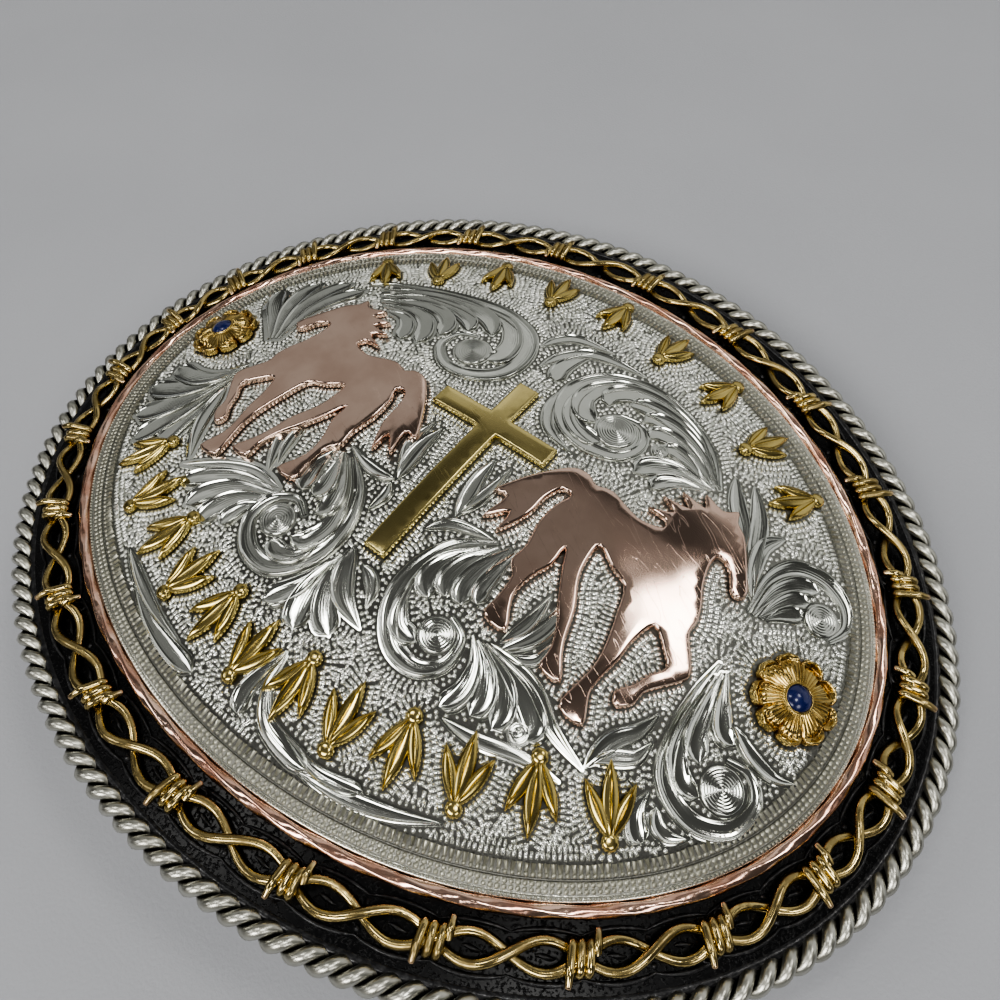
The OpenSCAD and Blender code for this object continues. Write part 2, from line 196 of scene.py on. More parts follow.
class Mould:
    """Gathers lattices of points, in millimetres, and casts them as one piece in metres."""

    def __init__(self):
        self.points, self.faces, self.corners, self.marks = [], [], [], []
        self.count = 0

    def add(self, points, faces, mark=0.0, corners=None):
        """Points, faces numbered from the first of them, and the place of each corner on the wrap."""
        self.points.append(points)
        self.faces += [[k + self.count for k in face] for face in faces]
        self.corners.append(np.zeros((sum(map(len, faces)), 2)) if corners is None else corners)
        self.marks.append(np.broadcast_to(mark, len(points)).astype(float))
        self.count += len(points)

    def lattice(self, p, uv=None, mark=0.0, round_rows=False, round_cols=False, outward=True):
        """Rows of points joined by quads; outward faces lie away from each row's middle, else upward."""
        n, m = p.shape[:2]
        i, j = np.meshgrid(
            np.arange(n if round_rows else n - 1), np.arange(m if round_cols else m - 1), indexing="ij"
        )
        i, j = i.ravel(), j.ravel()
        steps = ((0, 0), (0, 1), (1, 1), (1, 0))
        quads = np.stack([((i + a) % n) * m + (j + b) % m for a, b in steps], -1)
        corners = np.zeros((len(i), 4, 2))
        if uv is not None:
            corners = np.stack([uv[i + a, j + b] for a, b in steps], 1)
        flat = p.reshape(-1, 3)
        normals = np.cross(flat[quads[:, 2]] - flat[quads[:, 0]], flat[quads[:, 3]] - flat[quads[:, 1]])
        if outward:
            away = flat[quads].mean(1) - p.mean(1)[i]
            turned = (normals * away).sum() < 0
        else:
            turned = normals[:, 2].sum() < 0
        if turned:
            quads, corners = quads[:, ::-1], corners[:, ::-1]
        self.add(flat, quads.tolist(), np.ravel(mark) if np.ndim(mark) else mark, corners.reshape(-1, 2))

    def copies(self, p, faces, mark=0.0):
        """Many small solids at once: p is copies by points by 3, and faces are those of one copy."""
        starts = range(0, p.shape[0] * p.shape[1], p.shape[1])
        self.add(p.reshape(-1, 3), [[k + start for k in face] for face in faces for start in starts], mark)

    def tube(self, path, radius, sides, closed=False, mark=0.0):
        """Round wire along a path; radius may change along it."""
        along = np.roll(path, -1, 0) - np.roll(path, 1, 0) if closed else np.gradient(path, axis=0)
        along /= np.linalg.norm(along, axis=1)[:, None]
        if closed:
            out = np.cross(along, (0, 0, 1))
            out /= np.linalg.norm(out, axis=1)[:, None]
        else:
            out = np.zeros_like(path)
            first = np.cross(along[0], (0.3, 0.2, 1))
            for k in range(len(path)):
                first = first - along[k] * first.dot(along[k])
                first /= np.linalg.norm(first)
                out[k] = first
        up = np.cross(out, along)
        angle = np.arange(sides) * 2 * math.pi / sides
        size = np.broadcast_to(radius, len(path))[:, None, None]
        ring = out[:, None] * np.cos(angle)[None, :, None] + up[:, None] * np.sin(angle)[None, :, None]
        p = path[:, None] + ring * size
        length = np.append(0, np.cumsum(np.linalg.norm(np.diff(path, axis=0), axis=1)))
        if closed:
            length = np.append(length, length[-1] + np.linalg.norm(path[0] - path[-1]))
        uv = np.stack(np.meshgrid(length, np.arange(sides + 1) / sides, indexing="ij"), -1)
        self.lattice(p, uv, mark, round_rows=closed, round_cols=True)
        return p

    def pour(self, name, finish, crease=50.0):
        """The object that the points and faces make, in the scene."""
        mesh = bpy.data.meshes.new(name)
        mesh.from_pydata((np.concatenate(self.points) * 0.001).tolist(), [], self.faces)
        mesh.uv_layers.new(name="wrap").data.foreach_set("uv", np.concatenate(self.corners).ravel())
        mark = mesh.attributes.new("mark", "FLOAT", "POINT")
        mark.data.foreach_set("value", np.concatenate(self.marks))
        mesh.polygons.foreach_set("use_smooth", [True] * len(mesh.polygons))
        mesh.set_sharp_from_angle(angle=math.radians(crease))
        mesh.materials.append(finish.material)
        piece = bpy.data.objects.new(name, mesh)
        bpy.context.scene.collection.objects.link(piece)
        return piece

    def cast(self, name, finish, slot, replaces=(), crease=50.0):
        """A piece of the buckle, which takes the place of the solid nodes named."""
        piece = self.pour(name, finish, crease)
        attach(piece, "root")
        if replaces:
            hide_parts(*replaces)


def on_oval(a, b, angle, outward=0.0):
    """Points at angles, in degrees, of an oval, moved outward square to it, with the outward direction."""
    t = np.radians(angle)
    out = np.stack([b * np.cos(t), a * np.sin(t), 0 * t], -1)
    out /= np.linalg.norm(out, axis=-1)[..., None]
    return np.stack([a * np.cos(t), b * np.sin(t), 0 * t], -1) + out * np.asarray(outward)[..., None], out


def on_floor(p, rise):
    """The same points at a height over the channel's floor."""
    return np.stack([p[..., 0], p[..., 1], floor_z(p[..., 0]) + rise], -1)


chased = Mould()
turn = np.arange(BARBS * 20) * 360 / (BARBS * 20)
phase = np.radians(BARBS * turn)
for side, reach in ((-1, RIDGE_IN), (1, RIDGE_OUT)):
    swell = np.abs(np.sin(phase)) ** 0.8
    line, _ = on_oval(WIRE_A, WIRE_B, FIRST_BARB + turn, side * (reach - SCALLOP + SCALLOP * swell))
    chased.tube(on_floor(line, RIDGE_UP), RIDGE_R * (0.35 + 0.75 * swell), 8, closed=True)
for eye in range(2 * BARBS):
    middle = FIRST_BARB + (eye + 0.5) * 180 / BARBS
    span = np.linspace(-DASH_HALF, DASH_HALF, 7)
    line, _ = on_oval(WIRE_A, WIRE_B, middle + span, DASH_WAVE * np.sin(span * 2))
    chased.tube(on_floor(line, DASH_UP), RIDGE_R * (1.1 - np.abs(span) ** 2 * 0.8), 8)
    for side in (-1, 1):
        dot, _ = on_oval(WIRE_A, WIRE_B, np.full(2, FIRST_BARB + eye * 180 / BARBS), side * DOT_OUT)
        dot = on_floor(dot, np.array((-0.1, 0.2)))
        chased.tube(np.linspace(dot[0], dot[1], 5), np.array(DOT_RADII), 8)
for barb in range(BARBS):
    for side in (-1, 1):
        bend = np.linspace(0, CURL_TURN, 11)
        curl = CURL_R - 0.13 * bend
        angle = FIRST_BARB + barb * 360 / BARBS + side * (CURL_AWAY - curl * np.cos(bend) * 0.9)
        line, _ = on_oval(WIRE_A, WIRE_B, angle, -side * (CURL_OUT + curl * np.sin(bend) * 0.5))
        chased.tube(on_floor(line, DASH_UP), RIDGE_R * np.linspace(1.0, 0.4, 11), 8)
chased_black = Finish("rubbed_black")
worn = chased_black.grain(0.35, 3).ease(0.45, 0.7)
chased_black.dress(
    Base_Color=chased_black.blend(worn, (0.014, 0.014, 0.016, 1), (0.085, 0.085, 0.088, 1)),
    Metallic=worn * 0.4,
    Roughness=0.3 - worn * 0.08,
    Normal=chased_black.bump(chased_black.grain(0.3, 3), 0.03),
)
chased.cast("chased_channel_lines", chased_black, "blackened_plate")


# The rope edge is two round wires of nickel silver twisted to the left, bent round the plate and
# soldered to its edge, over a blackened seat. The lobes are polished, and the hollows between them are
# painted dark as shade.
ROPE_A, ROPE_B = 52.8, 42.55
ROPE_LOBES, ROPE_STEPS, ROPE_SIDES = 144, 12, 10
STRAND_OUT, STRAND_R = 0.585, 0.615
PLATE_T = 1.6
ROPE_RISE = 0.45
SEAT_IN, SEAT_DOWN, SEAT_R = 1.08, 0.42, 0.55
ROUND = 480


def evenly_round(a, b, count, outward=0.0):
    """Points an equal length apart round an oval, moved outward square to it, with the outward direction."""
    t = np.arange(3601) / 10
    p, _ = on_oval(a, b, t)
    run = np.append(0, np.cumsum(np.linalg.norm(np.diff(p, axis=0), axis=1)))
    return on_oval(a, b, np.interp(np.arange(count) * run[-1] / count, run, t), outward)


rope = Mould()
count = ROPE_LOBES * ROPE_STEPS
middle, out = evenly_round(ROPE_A, ROPE_B, count)
middle = on_floor(middle, ROPE_RISE - PLATE_T / 2)
along = np.roll(middle, -1, 0) - np.roll(middle, 1, 0)
along /= np.linalg.norm(along, axis=1)[:, None]
up = np.cross(out, along)
for strand in (0, math.pi):
    twist = (np.arange(count) * math.pi / ROPE_STEPS + strand)[:, None]
    away = out * np.cos(twist) + up * np.sin(twist)
    path = middle + away * STRAND_OUT
    ring = rope.tube(path, STRAND_R, ROPE_SIDES, closed=True)
    deep = ((ring - path[:, None]) * away[:, None]).sum(-1) / STRAND_R
    # The mark is painted shade: it rises where the strand faces the rope's axis and the other strand.
    rope.marks[-1] = np.clip(0.35 - 1.1 * deep, 0, 1).ravel()
bright = Finish("bright_twisted_wire")
deep = bright.mark()
cloud = bright.grain(1.4, 4)
# Painted shade: the hollows between the lobes are painted near black.
painted_hollow_shade = deep.ease(0.1, 0.72)
pits = bright.grain(0.3, 3)
lobe_tone = bright.blend(cloud, (0.70, 0.70, 0.65, 1), (0.42, 0.41, 0.35, 1))
bright.dress(
    Base_Color=bright.blend(painted_hollow_shade, lobe_tone, (0.05, 0.048, 0.04, 1)),
    Metallic=1.0,
    Roughness=0.27 + cloud * 0.12 + painted_hollow_shade * 0.2,
    Normal=bright.bump(cloud + pits * 0.3, 0.04),
)
rope.cast("twisted_rope_edge", bright, "silver_rope", ["outer_rope"])
solder = Mould()
seat, _ = on_oval(ROPE_A, ROPE_B, np.arange(ROUND) * 360 / ROUND, -SEAT_IN)
solder.tube(on_floor(seat, -SEAT_DOWN), SEAT_R, ROPE_SIDES, closed=True)
solder.cast("blackened_solder_seat", chased_black, "blackened_plate")


# The barbed wire is two soft round bronze wires twisted round each other, so that they open into two
# eyes between one barb and the next. A third wire is wound round both at each barb, where three coils of
# it show, and its ends are cut to points that stand out over the channel.
WIRE_Z = STRAND_D + SEAM
WIRE_STEPS, WIRE_SIDES = 24, 12
COIL_W, COIL_R, COIL_OUT, COIL_UP, COIL_DOWN = 2.74, 0.41, 1.12, 0.66, 0.5
COIL_STEPS, COIL_SIDES = 81, 10
LOOSE_OUT, LOOSE_ALONG, SKEW = 0.04, 0.06, 0.1

wire = Mould()
steps = BARBS * WIRE_STEPS
turn = np.arange(steps) * 360 / steps
phase = np.radians(BARBS * turn)
for side in (-1, 1):
    line, _ = on_oval(WIRE_A, WIRE_B, FIRST_BARB + turn, side * SWING * np.sin(phase))
    path = on_floor(line, WIRE_Z - side * STRAND_D / 2 * np.cos(phase))
    wire.tube(path, STRAND_D / 2, WIRE_SIDES, closed=True)
coil = np.linspace(math.pi / 2, math.pi / 2 + 5 * math.pi, COIL_STEPS)
flat_c, flat_s = (np.sign(f) * np.abs(f) ** 0.72 for f in (np.cos(coil), np.sin(coil)))
drop = np.where(flat_s > 0, COIL_UP, COIL_DOWN)
sideways = np.linspace(-1, 1, COIL_STEPS) * (COIL_W / 2 - COIL_R)
wound = np.stack([COIL_OUT * flat_c, sideways, drop * flat_s], -1)
# Reach, height and radius of each spike, from the coil to its cut end
spike = [
    (0.5, 0.78, 0.41), (0.9, 0.86, 0.39), (1.25, 0.8, 0.36), (1.55, 0.7, 0.33), (1.82, 0.61, 0.31),
    (1.98, 0.56, 0.29), (2.05, 0.54, 0.23), (2.08, 0.53, 0.1), (2.09, 0.525, 0.01),
]
tip_in = np.array([(-x, wound[-1, 1] + 0.1 + 0.12 * x, z) for x, z, _ in spike])
tip_out = np.array([(x, wound[0, 1] - 0.1 - 0.12 * x, z) for x, z, _ in spike[::-1]])
barb_path = np.concatenate([tip_out, wound[3:-3], tip_in])
sizes = [r for _, _, r in spike]
barb_size = np.concatenate([sizes[::-1], np.full(len(wound) - 6, COIL_R), sizes])
cut_end = np.concatenate([(1, 1, 1, 0.8, 0.4, 0.1), np.zeros(len(barb_path) - 12), (0.1, 0.4, 0.8, 1, 1, 1)])
rng = np.random.default_rng(7)
for barb in range(BARBS):
    angle = np.array([FIRST_BARB + barb * 360 / BARBS])
    spot, out = on_oval(WIRE_A, WIRE_B, angle)
    spot, out = on_floor(spot, WIRE_Z)[0], out[0]
    lean = math.asin(spot[0] / BEND_R)
    up = np.array((math.sin(lean), 0, math.cos(lean)))
    along = np.cross(up, out)
    along /= np.linalg.norm(along)
    wider, longer = rng.uniform(-LOOSE_OUT, LOOSE_OUT), rng.uniform(-LOOSE_ALONG, LOOSE_ALONG)
    loose = barb_path * (1 + wider, 1 + longer, 1)
    skew = rng.uniform(-SKEW, SKEW)
    p = spot + loose[:, :1] * (out + along * skew) + loose[:, 1:2] * along + loose[:, 2:] * up
    wire.tube(p, barb_size, COIL_SIDES, mark=np.repeat(cut_end, COIL_SIDES))
bronze = Finish("worn_bronze")
# Random patches of real tarnish on the bronze.
tarnish_and_painted_shade = bronze.grain(2.6, 4).ease(0.38, 0.66)
stain = bronze.grain(0.9, 3).ease(0.5, 0.72)
sheared = bronze.mark()
worn = bronze.blend(tarnish_and_painted_shade, (0.62, 0.50, 0.25, 1), (0.39, 0.31, 0.15, 1))
stained = bronze.blend(stain * 0.5, worn, (0.20, 0.14, 0.07, 1))
bronze.dress(
    Base_Color=bronze.blend(sheared * 0.8, stained, (0.86, 0.62, 0.46, 1)),
    Metallic=1.0,
    Roughness=0.15 + tarnish_and_painted_shade * 0.16 + stain * 0.1,
    Normal=bronze.bump(bronze.grain(0.9, 2), 0.03),
)
wire.cast("twisted_barbed_wire", bronze, "bronze_wire", ["barbed_wire"])


# The copper rope is a square copper wire with rounded corners, given a slow twist to the right and
# soldered round the silver plate's edge, so that it stands a little over the lip and hides the joint.
COPPER_A, COPPER_B = 45.8, 35.2
COPPER_R, COPPER_LIFT = 0.6, 0.5
COPPER_TURNS, COPPER_STEPS, COPPER_SIDES = 13, 44, 32

copper_rope = Mould()
count = COPPER_TURNS * COPPER_STEPS
middle, out = evenly_round(COPPER_A, COPPER_B, count)
middle = on_floor(middle, COPPER_R + COPPER_LIFT)
around = np.arange(COPPER_SIDES) * 2 * math.pi / COPPER_SIDES
square = np.stack([np.sign(f) * np.abs(f) ** 0.74 for f in (np.cos(around), np.sin(around))], -1)
square *= COPPER_R / np.linalg.norm(square, axis=1).max()
slow = -np.arange(count)[:, None] * 2 * math.pi * COPPER_TURNS / count
across = square[None, :, 0] * np.cos(slow) - square[None, :, 1] * np.sin(slow)
upward = square[None, :, 0] * np.sin(slow) + square[None, :, 1] * np.cos(slow)
p = middle[:, None] + out[:, None] * across[..., None] + np.array((0, 0, 1)) * upward[..., None]
copper_rope.lattice(p, round_rows=True, round_cols=True)
copper = Finish("drawn_copper")
blush = copper.grain(3, 4).ease(0.3, 0.7)
copper.dress(
    Base_Color=copper.blend(blush, (0.95, 0.70, 0.58, 1), (0.62, 0.36, 0.27, 1)),
    Metallic=1.0,
    Roughness=0.13 + blush * 0.12,
    Normal=copper.bump(copper.grain(1.6, 2), 0.09),
)
copper_rope.cast("twisted_copper_trim", copper, "copper_wire", ["copper_rope"], crease=60)


# The silver plate is a domed oval of nickel silver. A lip, a lowered band and a groove run round its
# border for the rows of beads and cuts; the field inside is lowered before it is engraved. The band,
# the groove and the field's ground between the cuts are painted dark as shade.
SILVER_A, SILVER_B = 45.2, 34.6
# Height of the dome's top, and its radii from side to side and from top to bottom
DOME_TOP, DOME_RX, DOME_RY = 16.369, 139.146, 155.432
BORDER_W = 2.85
FIELD_DROP, FIELD_ROWS = 0.06, 34


def dome_z(x, y):
    """Height of the silver plate's dome."""
    tilt = np.sqrt(DOME_RY**2 - np.square(y))
    return DOME_TOP - DOME_RX + np.sqrt(np.square(DOME_RX - DOME_RY + tilt) - np.square(x))


def on_dome(p, rise):
    """The same points at a height over the dome."""
    return np.stack([p[..., 0], p[..., 1], dome_z(p[..., 0], p[..., 1]) + rise], -1)


silver = Mould()
turn = np.arange(ROUND) * 360 / ROUND
# Inset from the edge, height over the dome and share of painted shade, from the edge's foot inward
border = [
    (0.0, -1.35, 0), (0.0, -0.13, 0), (0.03, -0.05, 0), (0.08, -0.01, 0), (0.14, 0.0, 0), (0.34, 0.0, 0),
    (0.40, -0.06, 0.6), (0.46, 0.0, 0), (0.52, 0.0, 0), (0.58, -0.06, 0.6), (1.44, -0.06, 0.6),
    (1.50, -0.02, 0.78), (1.56, -0.12, 0.78), (1.66, -0.12, 0.78), (1.72, -FIELD_DROP, 0.78),
    (BORDER_W, -FIELD_DROP, 1),
]
rows = []
for inset, rise, _ in border:
    p, _ = on_oval(SILVER_A, SILVER_B, turn, -inset)
    rows.append(on_dome(p, rise))
rows[0] = on_floor(rows[0], SEAM)
edge = rows[-1]
for ratio in np.linspace(0.97, 0.012, FIELD_ROWS):
    rows.append(on_dome(edge * ratio, -FIELD_DROP))
painted_shade_depths = [depth for _, _, depth in border] + [1] * FIELD_ROWS
silver.lattice(np.stack(rows), mark=np.repeat(painted_shade_depths, ROUND), round_cols=True, outward=False)
under = [on_floor(rows[0] * (ratio, ratio, 1), SEAM) for ratio in (1, 0.66, 0.33, 0.012)]
silver.lattice(np.stack(under)[::-1], round_cols=True, outward=False)
silver.faces[-3 * ROUND:] = [f[::-1] for f in silver.faces[-3 * ROUND:]]
old_silver = Finish("field_silver")
# The mark paints shade on the lowered band, the groove and the field's ground between the cuts.
low_place = old_silver.mark()
fog = old_silver.grain(2.5, 4)
# Painted light: the ground's painted shade is lifted toward the top and the far left.
up_field = old_silver.place_along(1).ease(-16, 16)
left_field = old_silver.place_along(0).ease(-6, -30)
painted_light_share = up_field * (1 - left_field) + left_field
ground = old_silver.blend(painted_light_share, (0.10, 0.10, 0.093, 1), (0.24, 0.243, 0.225, 1))
high_place = old_silver.blend(fog, (0.84, 0.84, 0.77, 1), (0.66, 0.65, 0.57, 1))
specks = old_silver.grain(0.3, 3)
old_silver.dress(
    Base_Color=old_silver.blend(low_place, high_place, ground),
    Metallic=1.0,
    Roughness=0.18 + fog * 0.12 + low_place * 0.22,
    Normal=old_silver.bump(specks * (0.2 + low_place), 0.09),
)
silver.cast("domed_silver_plate", old_silver, "engraved_silver", ["silver_plate"], crease=28)


# The scrolls are cut into the silver plate: long leaves that spring from one root and end in round lobes,
# the heads that they wind round, and pointed leaves in the corners. Each is a bright hollow between a high
# outer rim and a low inner edge, lined along its length, on a narrow bed of smooth silver.
LEAF_H, LEAF_SINK = 0.34, 0.1
FAR_SHARE, NEAR_SHARE, FULL_HEIGHT_W = 0.66, 1.08, 1.3
SPREAD = 1.027
END_CROWD, TIP_CROWD = 0.13, 0.35
WIDER = {"stem": 1.05, "lobe": 1.32, "point": 1.05}
LOBE_FROM = 0.84
SPOON_FROM, SPOON_OVER = 0.62, 0.25
BED_W, BED_WIDER, BED_DOWN, BED_UP = 0.26, 0.36, -0.14, 0.01
HEAD_SIDES = 48
LINE_GAP = 0.27
